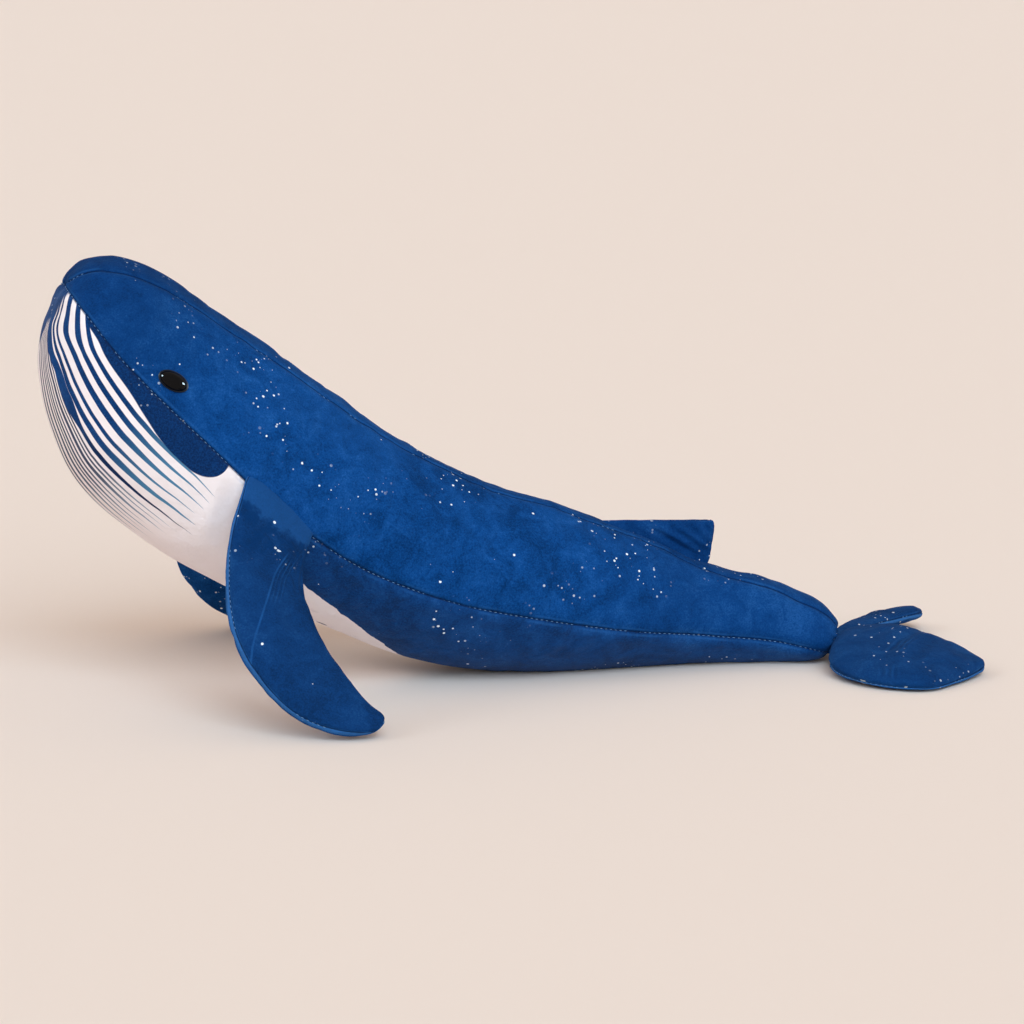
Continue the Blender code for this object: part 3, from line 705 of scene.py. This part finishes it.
def pile(paint, strength=1.0, crease=0.0):
    """The short pile, and the puckers that the stitches pull along each seam, as a normal."""
    arc, gap = paint.map("Cloth")
    pull = (arc * (2 * math.pi / STITCH_PITCH)).wave() * gap.above(0.0040, 0.0006)
    slack = paint.noise(150.0, 2.0, 0.5) * gap.above(0.014, 0.001)
    wrinkle = paint.noise(36.0, 3.0, 0.6, paint.stretched((1.0, 1.0, 1.5)))
    broad = paint.bump(pull * 0.00010 + slack * 0.0006 + wrinkle * 0.0014 + crease * 0.0003)
    nap = paint.noise(1300.0, 3.0, 0.7) * 0.00022 + paint.noise(330.0, 2.0, 0.6) * 0.00035
    return paint.bump(nap * strength, broad)


def seam_shade(paint):
    """Painted shade in the seam, and a little painted highlight where the rolled cloth beside it catches the
    light.
    """
    _, gap = paint.map("Cloth")
    patchy = paint.noise(45.0, 1.0).above(0.40, 0.60)
    return gap.above(0.0009, 0.0002) * 0.8, gap.between(0.0013, 0.0024, 0.0006) * patchy * 0.30


def plush(name, cloth_and_shade_tone=1.0, root=False, edge=False, shaded_ends=False, creased=False):
    """The blue plush of a panel, darkened as a whole by its tone: partly darker cloth, partly painted shade.
    root for a flipper's sewn end and hem, edge for a lighter band along the seams under a limb, shaded ends
    for painted shade on the torso's snout and tail, creased for a fluke's bend."""
    paint = Paint(name, Metallic=0.0, Sheen_Weight=0.05, Sheen_Roughness=0.5, Sheen_Tint=SHEEN_TINT,
                  Specular_IOR_Level=0.01)
    dark, pale = seam_shade(paint)
    colour = blue_print(paint, cloth_and_shade_tone)
    crease = 0.0
    if shaded_ends:
        arc, _ = paint.map("Cloth")
        # Painted shade that darkens the snout and the tail end
        painted_end_shade = (arc.above(0.15, 0.07) * 0.42).most(arc.above(0.36, 0.45) * 0.30)
        colour = paint.mix(painted_end_shade, colour, NAVY_PRINT_AND_SHADE)
    if root or creased:
        place, angle = paint.map("Limb")
        share = 0.5 - angle.math("COSINE") * 0.5
    if creased:
        bow = place - 3.65 - (share - 0.75) * (share - 0.75) * 1.8 + paint.noise(40.0, 1.0) * 0.2
        window = (0.42 - abs(bow)).above(0.0, 0.25) * (share * (1.0 - share)).above(0.01, 0.06)
        uneven = paint.noise(55.0, 1.0) * 5.0
        crease = (bow * 36.0 + uneven).wave() * window * paint.noise(48.0, 1.0).above(0.35, 0.62)
    if root:
        ragged = place + paint.noise(150.0, 3.0, 0.6) * 0.6 - paint.noise(30.0, 1.0) * 0.5
        colour = paint.mix(ragged.above(0.54, 0.36) * 0.30, colour, BLUE_LIGHT)
        rough_nap = paint.noise(210.0, 2.0, 0.6).above(0.40, 0.60)
        worn = ragged.above(0.40, 0.52) * ragged.above(2.0, 0.7) * rough_nap * 0.7
        colour = paint.mix(worn, colour, BLUE_DEEP)
        lay = 0.92 - place * 0.165 - place * place * 0.008
        line = (0.010 - abs(share - lay)).above(-0.006, 0.004) * place.above(0.9, 1.4)
        colour = paint.mix(line * paint.noise(60.0, 1.0) * 0.55, colour, BLUE_LIGHT)
        past = share - lay
        window = past.between(0.02, 0.17, 0.02) * place.between(0.9, 2.6, 0.4)
        uneven = paint.noise(50.0, 1.0) * 4.0
        crease = (past * 125.0 + uneven).wave() * window * paint.noise(70.0, 1.0).above(0.30, 0.60)
    if edge:
        _, gap = paint.map("Cloth")
        colour = paint.mix(gap.above(0.0075, 0.0030) * 0.38, colour, EDGE_BLUE)
    # Painted highlight on the creases' ridges and painted shade in their troughs
    if root or creased:
        colour = paint.mix(crease.most(0.0) * 0.16, colour, BLUE_LIGHT)
        colour = paint.mix((crease * -1.0).most(0.0) * 0.26, colour, NAVY_PRINT_AND_SHADE)
    # Painted highlight where the cloth beside each seam catches the light
    colour = paint.mix(pale, colour, BLUE_LIGHT)
    colour = paint.mix(specks(paint), colour, SPECK_WHITE)
    # Painted shade in the seams
    colour = paint.mix(dark, colour, NAVY_PRINT_AND_SHADE)
    rough = paint.noise(60.0, 2.0) * 0.12 + 0.80
    return paint.finish(Base_Color=colour, Roughness=rough, Normal=pile(paint, 1.0, crease))


# The print on the throat: each groove's lane, half its width, and the place where it ends
GROOVES = (
    (0.174, 0.0150, 6.35), (0.240, 0.0165, 6.35), (0.312, 0.0190, 6.35), (0.390, 0.0125, 6.30),
    (0.452, 0.0200, 6.40),
)
THIN_GROOVES = (
    (0.562, 0.0070, 6.35), (0.590, 0.0070, 6.25), (0.624, 0.0125, 6.30), (0.663, 0.0080, 6.10),
    (0.699, 0.0100, 6.25), (0.732, 0.0085, 6.15), (0.775, 0.0130, 6.25), (0.840, 0.0160, 6.15),
    (0.915, 0.0200, 6.20),
)
# Where the white belly gives way to blue: place and lane
BELLY_EDGE = (
    (6.55, 0.000), (6.75, 0.080), (7.05, 0.190), (7.60, 0.340), (7.87, 0.385), (8.20, 0.470),
    (8.57, 0.610), (8.97, 0.860), (9.15, 1.000),
)


def printed_underside():
    """White throat with blue grooves, a dark mouth corner and a white belly, on the blue print."""
    paint = Paint("printed_underside", Metallic=0.0, Sheen_Weight=0.08, Sheen_Roughness=0.5,
                  Sheen_Tint=(0.7, 0.8, 1.0, 1.0), Specular_IOR_Level=0.02)
    place, across = paint.map("Print")
    wobble = paint.noise(22.0, 1.0, 0.5) - 0.5
    ragged = paint.noise(260.0, 2.0, 0.5) - 0.5
    lane = across + wobble * 0.006 + ragged * 0.0016
    soft = 0.0016
    # The underside's blue is darkened as a whole: partly darker cloth and partly painted shade
    blue = blue_print(paint, 0.72)
    marks = 0.0
    for centre, half, end in GROOVES:
        taper = ((end - place) * 0.75).least(1.0).most(0.0) ** 0.8 * half
        marks = (taper - abs(lane - centre)).above(-soft, soft) * place.above(end, end - 0.06) + marks
    fine_marks = 0.0
    for centre, half, end in THIN_GROOVES:
        taper = ((end - place) * 0.8).least(1.0).most(0.0) * half
        mark = (taper - abs(lane - centre)).above(-soft, soft)
        fine_marks = mark * place.above(end, end - 0.4) + fine_marks
    band_half = place.above(4.35, 3.70) * 0.030 + place.above(2.9, 2.2) * 0.030
    band_half = ((6.45 - place) * 0.6).least(1.0).most(0.0) * 0.015 + band_half
    band_centre = place.above(3.4, 2.2) * 0.050 + 0.518
    band = (band_half - abs(lane - band_centre)).above(-soft, soft) * place.above(6.46, 6.40)
    patch_edge = place.above(2.9, 3.6) * -0.060 + place.above(4.4, 5.6) * 0.050 + 0.178
    patch_round = (1.0 - ((place - 5.86) * 2.6).most(0.0) ** 2.0).most(0.0) ** 0.5
    patch = (patch_edge * patch_round - lane).above(-soft * 2, soft * 2) * place.above(6.26, 6.23)
    snout = (place - lane.above(0.78, 1.0) * 0.65).above(1.75, 1.45)
    dark = paint.mix(paint.noise(1050.0, 2.0, 0.7).above(0.35, 0.65), NAVY_PRINT_AND_SHADE, PRINT_PATCH)
    groove = paint.mix(place.above(4.5, 6.0), paint.mix(0.45, blue, dark), PRINT_TEAL)
    shade = paint.noise(28.0, 3.0, 0.6)
    white = paint.mix(shade.above(0.35, 0.75) * 0.4, PRINT_WHITE, PRINT_SHADE)
    colour = paint.mix(marks.least(1.0), white, groove)
    faint = paint.mix(place.above(4.6, 6.2), NAVY_PRINT_AND_SHADE, PRINT_FADED)
    colour = paint.mix(fine_marks.least(1.0) * 0.95, colour, faint)
    colour = paint.mix(band, colour, paint.mix(place.above(3.2, 5.0), blue, NAVY_PRINT_AND_SHADE))
    colour = paint.mix(patch, colour, dark)
    colour = paint.mix(snout, colour, blue)
    edge = across + wobble * 0.06 + (paint.noise(95.0, 2.0, 0.6) - 0.5) * 0.07
    blue_side = place.math("GREATER_THAN", BELLY_EDGE[-1][0])
    for (low, start), (high, end) in zip(BELLY_EDGE[:-1], BELLY_EDGE[1:]):
        line = (place - low) * ((end - start) / (high - low)) + start
        inside = place.math("GREATER_THAN", low) * place.math("LESS_THAN", high)
        blue_side = (line - edge).above(-0.003, 0.003) * inside + blue_side
    fleck = paint.cells(85.0, place=paint.stretched((0.45, 1.0, 1.0)))
    fleck = (0.17 - Value(paint, fleck.outputs["Distance"])).above(-0.03, 0.03)
    fleck = fleck * paint.noise(24.0, 1.0).above(0.54, 0.58)
    fleck = fleck * across.above(0.55, 0.70) * place.above(6.9, 7.3)
    colour = paint.mix(fleck * 0.85, colour, PRINT_FLECK)
    colour = paint.mix(blue_side.least(1.0), colour, blue)
    colour = paint.mix(specks(paint) * blue_side.most(snout).most(patch * 0.5), colour, SPECK_WHITE)
    seam, pale = seam_shade(paint)
    # Painted highlight beside the seams on the blue rear, then painted shade in the seams
    colour = paint.mix(pale * place.above(6.3, 6.6), colour, BLUE_LIGHT)
    colour = paint.mix(seam, colour, NAVY_PRINT_AND_SHADE)
    rough = paint.noise(60.0, 2.0) * 0.12 + 0.78
    return paint.finish(Base_Color=colour, Roughness=rough, Normal=pile(paint, 0.8))


def grained(name, grain, first, second, rough, relief=0.0, **constants):
    """Two close colours over a fine grain, with a roughness from its least by its spread."""
    paint = Paint(name, Metallic=0.0, **constants)
    grain = paint.noise(**grain)
    links = {"Base_Color": paint.mix(grain, first, second), "Roughness": grain * rough[1] + rough[0]}
    if relief:
        links["Normal"] = paint.bump(grain * relief)
    return paint.finish(**links)


def eye_finish():
    paint = Paint("polished_black", Metallic=0.0, Specular_IOR_Level=0.12)
    cloud = paint.noise(300.0, 3.0)
    colour = paint.mix(cloud, (0.0012, 0.0012, 0.0016), (0.0030, 0.0028, 0.0034))
    return paint.finish(Base_Color=colour, Roughness=cloud.above(0.3, 0.8) * 0.06 + 0.05)


# The tones darken whole panels: painted shade on the gusset and fluke tops, partly darker cloth and partly
# painted shade on the flippers
BLUE_PLUSH = plush("blue_plush_print", shaded_ends=True)
GUSSET_PLUSH = plush("blue_plush_gusset", 0.80, shaded_ends=True)
FLIPPER_PLUSH = plush("blue_plush_flipper", 0.50, root=True)
FLUKE_PLUSH = plush("blue_plush_fluke", 0.50, creased=True)
PALE_PLUSH = plush("blue_plush_pale_edge", edge=True)
STUFFING = grained("white_fibre", {"scale": 420.0, "detail": 6.0, "roughness": 0.75, "distortion": 1.2},
                   (0.62, 0.62, 0.60), (0.88, 0.88, 0.86), (0.85, 0.1), 0.002, Sheen_Weight=0.3)
UNDERSIDE = printed_underside()
THREAD = grained("blue_thread", {"scale": 2600.0, "detail": 1.0}, (0.030, 0.140, 0.360),
                 (0.160, 0.320, 0.560), (0.6, 0.2), 0.0001, Sheen_Weight=0.2, Specular_IOR_Level=0.1)
EYE_BLACK = eye_finish()
EYE_RIM = grained("black_rim", {"scale": 500.0, "detail": 2.0}, (0.002, 0.003, 0.006),
                  (0.005, 0.006, 0.012), (0.35, 0.2), Specular_IOR_Level=0.15)
NYLON = grained("moulded_nylon", {"scale": 800.0, "detail": 3.0}, (0.52, 0.52, 0.51),
                (0.62, 0.62, 0.61), (0.38, 0.15), 0.00005)

# The torso's skin
torso = Torso()
body_rows = torso.rows(BODY_ROWS)


def edge(number, full, sign):
    """A panel's edge as turns: a seam on the left, or from a full turn back for one on the right."""
    return lambda rows: full + sign * torso.seam_turns(rows)[:, number]


def torso_start(places, turns):
    """The form that the stuffing starts from, a little inside the finished one away from the seams."""
    gap = torso.seam_distance(places, turns)
    spot = torso.raw(places, turns) - torso.normal(places, turns) * (ease(gap, 0.0, 0.02) * 0.0008)[:, None]
    spot[:, 2] = np.maximum(spot[:, 2], 0.0002)
    return spot


TORSO_PANELS = (
    ("back_gusset", GUSSET_COLUMNS, edge(0, 0, -1), edge(0, 0, 1)),
    ("left_side_panel", SIDE_COLUMNS, edge(0, 0, 1), edge(1, 0, 1)),
    ("underside_panel", UNDERSIDE_COLUMNS, edge(1, 0, 1), edge(1, 2, -1)),
    ("right_side_panel", SIDE_COLUMNS, edge(1, 2, -1), edge(0, 2, -1)),
)
torso_skin = Skin("torso_skin", body_rows, TORSO_PANELS, torso_start)

joints = {joint["name"]: joint for joint in frame["record"]["behaviour"]["joints"]}


def hinge_of(name):
    return joints[name]["pos_m"], joints[name]["axis"]


left_hinge, left_axis = hinge_of("left_flipper_swing")
right_hinge, right_axis = hinge_of("right_flipper_swing")
fin_hinge, fin_axis = hinge_of("dorsal_fin_fold")
fluke_hinge, fluke_axis = hinge_of("left_fluke_flap")
blades = {
    "left_flipper": Blade(1.0, left_hinge, left_axis, LEFT_FLIPPER_OUT, FLIPPER_RIB_SHARES, FLIPPER_SIZES,
                          seams=FLIPPER_SEAMS),
    "right_flipper": Blade(-1.0, right_hinge, [-part for part in right_axis], RIGHT_FLIPPER_OUT,
                           FLIPPER_RIB_SHARES, FLIPPER_SIZES, seams=FLIPPER_SEAMS),
    "dorsal_fin": Blade(1.0, fin_hinge, fin_axis, FIN_OUT, FIN_RIB_SHARES, FIN_SIZES, **FIN_ROOT),
    "left_fluke": Blade(1.0, fluke_hinge, fluke_axis, LEFT_FLUKE_OUT, LEFT_FLUKE_RIB_SHARES, FLUKE_SIZES,
                        FLUKE_UNDER_SHARE, LEFT_FLUKE_SEAMS, **FLUKE_ROOT),
    "right_fluke": Blade(-1.0, fluke_hinge, [-part for part in fluke_axis], RIGHT_FLUKE_OUT,
                         RIGHT_FLUKE_RIB_SHARES, FLUKE_SIZES, FLUKE_UNDER_SHARE, RIGHT_FLUKE_SEAMS,
                         **FLUKE_ROOT),
}
PANELS = {
    "left_flipper": ("left_flipper_inner_panel", "left_flipper_outer_panel"),
    "right_flipper": ("right_flipper_inner_panel", "right_flipper_outer_panel"),
    "dorsal_fin": ("dorsal_fin_left_panel", "dorsal_fin_right_panel"),
    "left_fluke": ("left_fluke_top_panel", "left_fluke_bottom_panel"),
    "right_fluke": ("right_fluke_top_panel", "right_fluke_bottom_panel"),
}
blade_skins = {}
for name, blade in blades.items():
    pitch, columns = LIMBS[name][:2]
    turns = (blade.first_seam, blade.last_seam, blade.first_seam + 2 * math.pi)
    edges = [lambda rows, turn=turn: np.full(len(rows), turn) for turn in turns]
    halves = [(panel, columns, edges[k], edges[k + 1]) for k, panel in enumerate(PANELS[name])]
    blade_skins[name] = Skin(f"{name}_skin", blade.rows(pitch), halves, blade.surface)

# Stuffing: all the skins swell together under the same pressure
skins = [torso_skin, *blade_skins.values()]
torso_gap = torso.seam_distance(torso_skin.places, torso_skin.turns)
torso_skin.fill(1 - ease(torso_gap, 0.0015, 0.012), 0.010)
for name, skin in blade_skins.items():
    gap = blades[name].seam_distance(skin.places, skin.turns)
    held = np.maximum(1 - ease(gap, 0.001, 0.007), 1 - ease(skin.places, 0.3, 1.2))
    held = np.maximum(held, ease(skin.places, blades[name].count - 1.0, blades[name].count))
    skin.fill(held, 0.02)
for step in range(1, SWELLING_FRAMES + 1):
    bpy.context.scene.frame_set(step)
torso_skin.settle(TORSO_SWELL)
for name, skin in blade_skins.items():
    skin.settle(LIMBS[name][2])
bpy.context.scene.frame_set(1)


def lumps(points, pitch, seed):
    """Uneven stuffing: a soft noise, the same at each run."""
    values = [noise.noise(Vector(spot) / pitch + Vector((seed, 0.3 * seed, 0.7 * seed))) for spot in points]
    return np.array(values)


def dress_torso():
    """Pull the seams in, pucker the cloth beside them, gather the tail and rest the belly flat."""
    skin = torso_skin
    points, normals = skin.points(), skin.normals()
    place, turn = skin.places, skin.turns
    gap = torso.seam_distance(place, turn)
    arc = torso.arc(place)
    end = ease(place, 14.2, 15.9)
    shift = -0.0009 * np.exp(-(gap / 0.0017) ** 2) + 0.0003 * np.exp(-((gap - 0.005) / 0.003) ** 2)
    beside = np.exp(-(gap / 0.010) ** 2)
    shift += beside * 0.0006 * lumps(np.stack([arc, gap * 0.25, turn * 0.02], -1), 0.0075, 3.0)
    shift += 0.0008 * lumps(points, 0.030, 1.0) + 0.0008 * lumps(points, 0.014, 2.0) * ease(place, 8, 13)
    half = 1 - np.abs(1 - np.mod(turn, 2))
    fold = np.exp(-((place - 6.28 - 1.6 * (half - 0.56)) / 0.11) ** 2)
    shift += 0.0020 * fold * ease(half, 0.49, 0.54) * (1 - ease(half, 0.66, 0.78))
    folds = np.sin(turn * 2 * math.pi * 8 + 1.5 * lumps(points, 0.02, 5.0))
    shift += (end * 0.0008 + ease(place, 14.8, 15.7) * 0.0012) * folds
    eye_spot = torso.raw(np.array(EYE_PLACE[0]), np.array(EYE_PLACE[1]))
    for side in (1.0, -1.0):
        away = np.linalg.norm(points - eye_spot * np.array((1, side, 1)), axis=-1)
        shift -= 0.0011 * np.exp(-(away / 0.009) ** 2)
    points = points + normals * shift[:, None]
    points[:, 2] = np.maximum(points[:, 2], 0.0)
    skin.move_to(points)


def creases(name, place, turn):
    """Folds that run across a limb: at the flipper's hem, and where the fluke and the fin bend."""
    share = (1 - np.cos(turn)) / 2
    inside = np.sin(turn) ** 2
    if "flipper" in name:
        run = (share - 0.98) * 1.5 + (place - 1.5) * 0.10
        window = np.exp(-((share - 0.86) / 0.13) ** 2 - ((place - 1.6) / 1.3) ** 2)
        return 0.0013 * window * np.sin(run * 2 * math.pi * 9)
    if "fluke" in name:
        bow = place - 3.6 - 1.8 * (share - 0.75) ** 2
        depth = 0.0013 if name == "left_fluke" else 0.0003
        return depth * inside * np.exp(-(bow / 0.7) ** 2) * np.sin(bow * 2 * math.pi * 1.1)
    bow = place - 2.2 + 1.4 * share
    return 0.0009 * np.sin(bow * 2 * math.pi * 1.1) * np.exp(-((share - 0.5) / 0.3) ** 2)


def dress_blade(name):
    skin, blade = blade_skins[name], blades[name]
    points, normals = skin.points(), skin.normals()
    gap = blade.seam_distance(skin.places, skin.turns)
    arc = blade.arc(skin.places)
    small = 0.5 if name == "dorsal_fin" else 1.0
    shift = -0.0006 * small * np.exp(-(gap / 0.0013) ** 2)
    beside = np.exp(-(gap / 0.008) ** 2)
    along = np.stack([arc, gap * 0.3, np.sin(skin.turns) * 0.01], -1)
    shift += beside * 0.0006 * small * lumps(along, 0.006, 4.0)
    shift += 0.0007 * small * lumps(points, 0.022, 6.0)
    shift += creases(name, skin.places, skin.turns)
    points = points + normals * shift[:, None]
    if "fluke" in name or "flipper" in name:
        points[:, 2] = np.maximum(points[:, 2], 0.0)
    skin.move_to(points)


dress_torso()
for name in blades:
    dress_blade(name)


def torso_cloth(along, across):
    return torso.arc(along), torso.seam_distance(along, across)


PRINT_LANES = np.linspace(0, 1, 201)
LANE_SLOPES = ((0.0, 0.165, 0.3, 0.4, 0.5, 0.6, 1.0), (0.010, 0.012, -0.012, -0.030, -0.028, -0.015, 0.0))


def throat_print(along, across):
    """Where each point lies in the print: the lanes of the throat start at the mouth seam near the snout."""
    top = np.interp(along, np.arange(len(PRINT_TOP_SHARES)), PRINT_TOP_SHARES)
    half = 1 - np.abs(1 - np.mod(across, 2))
    share = np.clip((half - top) / (1 - top), 0, 1)
    start = 2.70 - 3.9 * PRINT_LANES[None, :] + 0.40 * (1 - ease(PRINT_LANES, 0.18, 0.36))[None, :]
    opened = ease(along[:, None] - start, 0.0, 1.15)
    slope = np.interp(PRINT_LANES, *LANE_SLOPES)
    drift = slope[None, :] * (np.clip(along, 2.5, 6.4) - 4.7)[:, None]
    shown = np.maximum.accumulate(PRINT_LANES[None, :] * opened + drift * opened, axis=1)
    lanes = np.array([np.interp(s, row, PRINT_LANES) for s, row in zip(share, shown)])
    settled = ease(along, 6.6, 7.4)
    return along, lanes * (1 - settled) + share * settled


def make_stuffing(skin, name, node, depth, blade=None):
    """The fibre under a skin, which follows it closely and stands for the solid filling."""
    points = skin.points() - skin.normals() * depth
    if blade:
        middle = (blade.surface(skin.places, 0.0) + blade.surface(skin.places, math.pi)) / 2
        spread = points - middle
        reach = np.maximum(np.linalg.norm(spread, axis=-1), 1e-6)
        edge = np.exp(-(blade.seam_distance(skin.places, skin.turns) / 0.006) ** 2)
        keep = 1 - np.minimum(depth * 2.0 * edge / reach, 0.7)
        points = middle + spread * (keep * ease(skin.places, -0.6, 0.5))[:, None]
    points[:, 2] = np.maximum(points[:, 2], 0.0012)
    inner = skin.object.data.copy()
    inner.name = name
    inner.vertices.foreach_set("co", points.astype(np.float32).ravel())
    piece = linked(inner, name)
    give_finish(piece, STUFFING)
    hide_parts(node)
    return piece


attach(make_stuffing(torso_skin, "torso_fibre", "torso_filling", TORSO_FIBRE_DEPTH), "torso")
for index, (name, *_) in enumerate(TORSO_PANELS):
    printed = name == "underside_panel"
    maps = (("Cloth", torso_cloth), ("Print", throat_print)) if printed else (("Cloth", torso_cloth),)
    piece = part_panel(torso_skin, index, f"{name}_cloth", maps, TORSO_CLOTH)
    finish = {"underside_panel": UNDERSIDE, "back_gusset": GUSSET_PLUSH}.get(name, BLUE_PLUSH)
    give_finish(piece, finish)
    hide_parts(name)
    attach(piece, "torso")

LIMB_FINISHES = {"inner": PALE_PLUSH, "bottom": PALE_PLUSH, "outer": FLIPPER_PLUSH, "top": FLUKE_PLUSH}
for name, blade in blades.items():
    depth, bend = LIMBS[name][3:]
    start = blade.hinge - blade.out * BEND_START
    end = blade.hinge + blade.out * bend
    maps = (("Cloth", lambda along, across, b=blade: (b.arc(along), b.seam_distance(along, across))),
            ("Limb", lambda along, across: (along, across)))
    fibre = make_stuffing(blade_skins[name], f"{name}_fibre", f"{name}_filling", depth, blade)
    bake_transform(fibre)
    for index, panel in enumerate(PANELS[name]):
        piece = part_panel(blade_skins[name], index, f"{panel}_cloth", maps, LIMB_CLOTH)
        give_finish(piece, LIMB_FINISHES.get(panel.split("_")[-2], BLUE_PLUSH))
        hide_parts(panel)
        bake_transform(piece)

# Thread along the seams
places = torso.rows(600)
places = places[(places > 0.15) & (places < 15.85)]
for number, name in ((0, "back_seam"), (1, "side_seam")):
    for side in (1, -1):
        turns = torso.seam_turns(places)[:, number]
        turns = turns if side > 0 else 2 - turns
        points = torso.raw(places, turns)
        normals = torso.normal(places, turns)
        points = points - normals * (0.0013 - 0.0005 * number)
        points[:, 2] = np.maximum(points[:, 2], 0.0003)
        word = "left" if side > 0 else "right"
        thread = stitches(f"{word}_{name}_thread", points, normals, 0.0003, 0.1 - 0.35 * number)
        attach(thread, "torso")
for name, blade in blades.items():
    if name == "dorsal_fin":
        continue
    places = np.linspace(1.2, blade.count - 0.5, 240)
    for number, seam in enumerate((blade.first_seam, blade.last_seam)):
        points = blade.surface(places, seam)
        normals = unit(points - blade.surface(places, seam + math.pi))
        points = points - normals * 0.0004
        thread = stitches(f"{name}_seam_thread_{number + 1}", points, normals, 0.0, 0.0)
        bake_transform(thread)

for skin in skins:
    data = skin.object.data
    bpy.data.objects.remove(skin.object, do_unlink=True)
    bpy.data.meshes.remove(data)


def make_eye(side, name):
    """A polished oval dome in a narrow rim, set in its dimple."""
    turn = EYE_PLACE[1] if side > 0 else 2 - EYE_PLACE[1]
    centre = Vector(torso.raw(np.array(EYE_PLACE[0]), np.array(turn)))
    outward = Vector(torso.normal(np.array(EYE_PLACE[0]), np.array(turn)))
    pitch = Vector((math.cos(EYE_PITCH), 0.0, -math.sin(EYE_PITCH)))
    across = outward.cross(pitch).normalized()
    along = across.cross(outward).normalized()
    turned = Matrix((along, across, outward)).transposed().to_4x4()
    spot = Matrix.Translation(centre - outward * EYE_SUNK) @ turned @ Matrix.Diagonal((*EYE_SIZE, 1.0))
    dome = bmesh.new()
    bmesh.ops.create_uvsphere(dome, u_segments=48, v_segments=24, radius=1.0)
    for vertex in dome.verts:
        vertex.co.z *= 1.0 if vertex.co.z > 0 else 0.5
    rim = bmesh.new()
    bmesh.ops.create_circle(rim, cap_ends=True, segments=10, radius=RIM_ROUND_SHARE)
    bmesh.ops.rotate(rim, verts=rim.verts, matrix=Matrix.Rotation(math.pi / 2, 3, "X"))
    bmesh.ops.translate(rim, verts=rim.verts, vec=(1.0, 0.0, RIM_RISE_SHARE))
    bmesh.ops.delete(rim, geom=rim.faces[:], context="FACES_ONLY")
    bmesh.ops.spin(rim, geom=rim.verts[:] + rim.edges[:], axis=(0, 0, 1), cent=(0, 0, 0), steps=56,
                   angle=2 * math.pi, use_merge=True)
    bmesh.ops.remove_doubles(rim, verts=rim.verts, dist=0.001)
    for mesh, part, finish in ((dome, "dome", EYE_BLACK), (rim, "rim", EYE_RIM)):
        bmesh.ops.transform(mesh, matrix=spot, verts=mesh.verts)
        bmesh.ops.recalc_face_normals(mesh, faces=mesh.faces)
        piece = built(mesh, f"{name}_{part}")
        give_finish(piece, finish)
        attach(piece, "torso")
        if part == "dome":
            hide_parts(name)


make_eye(1.0, "left_eye")
make_eye(-1.0, "right_eye")

# The washers stay as they are
for name in ("left_eye_washer", "right_eye_washer"):
    washer = frame["nodes"][name]
    washer.data.materials.clear()
    washer.data.materials.append(NYLON)


def make_floor():
    mesh = bmesh.new()
    bmesh.ops.create_grid(mesh, x_segments=1, y_segments=1, size=40.0)
    floor = built(mesh, "floor")
    paint = Paint("pale_floor", Metallic=0.0, Roughness=0.9, Specular_IOR_Level=0.0)
    floor.data.materials.append(paint.finish(Base_Color=paint.colour(FLOOR_COLOUR)))


def make_lights():
    """Soft light from a plain sky and two suns; the camera and reflections see the floor's colour."""
    world = bpy.data.worlds.new("plain_sky")
    bpy.context.scene.world = world
    world.use_nodes = True
    tree = world.node_tree
    tree.nodes.clear()
    kinds = ("LightPath", "Background", "Background", "MixShader", "OutputWorld")
    path, plain, seen, mixed, out = [tree.nodes.new(f"ShaderNode{kind}") for kind in kinds]
    plain.inputs["Color"].default_value = (*SKY_COLOUR, 1.0)
    plain.inputs["Strength"].default_value = SKY_STRENGTH
    seen.inputs["Color"].default_value = (*FLOOR_COLOUR, 1.0)
    share = path.outputs["Is Camera Ray"]
    for ray in ("Is Glossy Ray", "Is Transmission Ray"):
        either = tree.nodes.new("ShaderNodeMath")
        either.operation = "MAXIMUM"
        tree.links.new(share, either.inputs[0])
        tree.links.new(path.outputs[ray], either.inputs[1])
        share = either.outputs[0]
    tree.links.new(share, mixed.inputs[0])
    tree.links.new(plain.outputs[0], mixed.inputs[1])
    tree.links.new(seen.outputs[0], mixed.inputs[2])
    tree.links.new(mixed.outputs[0], out.inputs[0])
    for name, (strength, size, direction) in SUNS.items():
        lamp = bpy.data.lights.new(name, "SUN")
        lamp.energy = strength
        lamp.color = SUN_COLOUR
        lamp.angle = math.radians(size)
        holder = bpy.data.objects.new(name, lamp)
        holder.visible_glossy = "glint" in name
        holder.visible_diffuse = "glint" not in name
        holder.rotation_euler = Vector(direction).to_track_quat("Z", "Y").to_euler()
        bpy.context.scene.collection.objects.link(holder)


def make_camera():
    back = Vector((math.sin(CAMERA_AZIMUTH) * math.cos(CAMERA_ELEVATION),
                   -math.cos(CAMERA_AZIMUTH) * math.cos(CAMERA_ELEVATION), math.sin(CAMERA_ELEVATION)))
    data = bpy.data.cameras.new("camera")
    data.sensor_width = SENSOR
    data.lens = CAMERA_DISTANCE / PIXEL / FRAME_PIXELS * SENSOR
    camera = bpy.data.objects.new("camera", data)
    camera.location = Vector(CAMERA_AIM) + back * CAMERA_DISTANCE
    camera.rotation_euler = back.to_track_quat("Z", "Y").to_euler()
    bpy.context.scene.collection.objects.link(camera)
    bpy.context.scene.camera = camera


make_floor()
make_lights()
make_camera()
bpy.context.scene.view_settings.view_transform = "Standard"
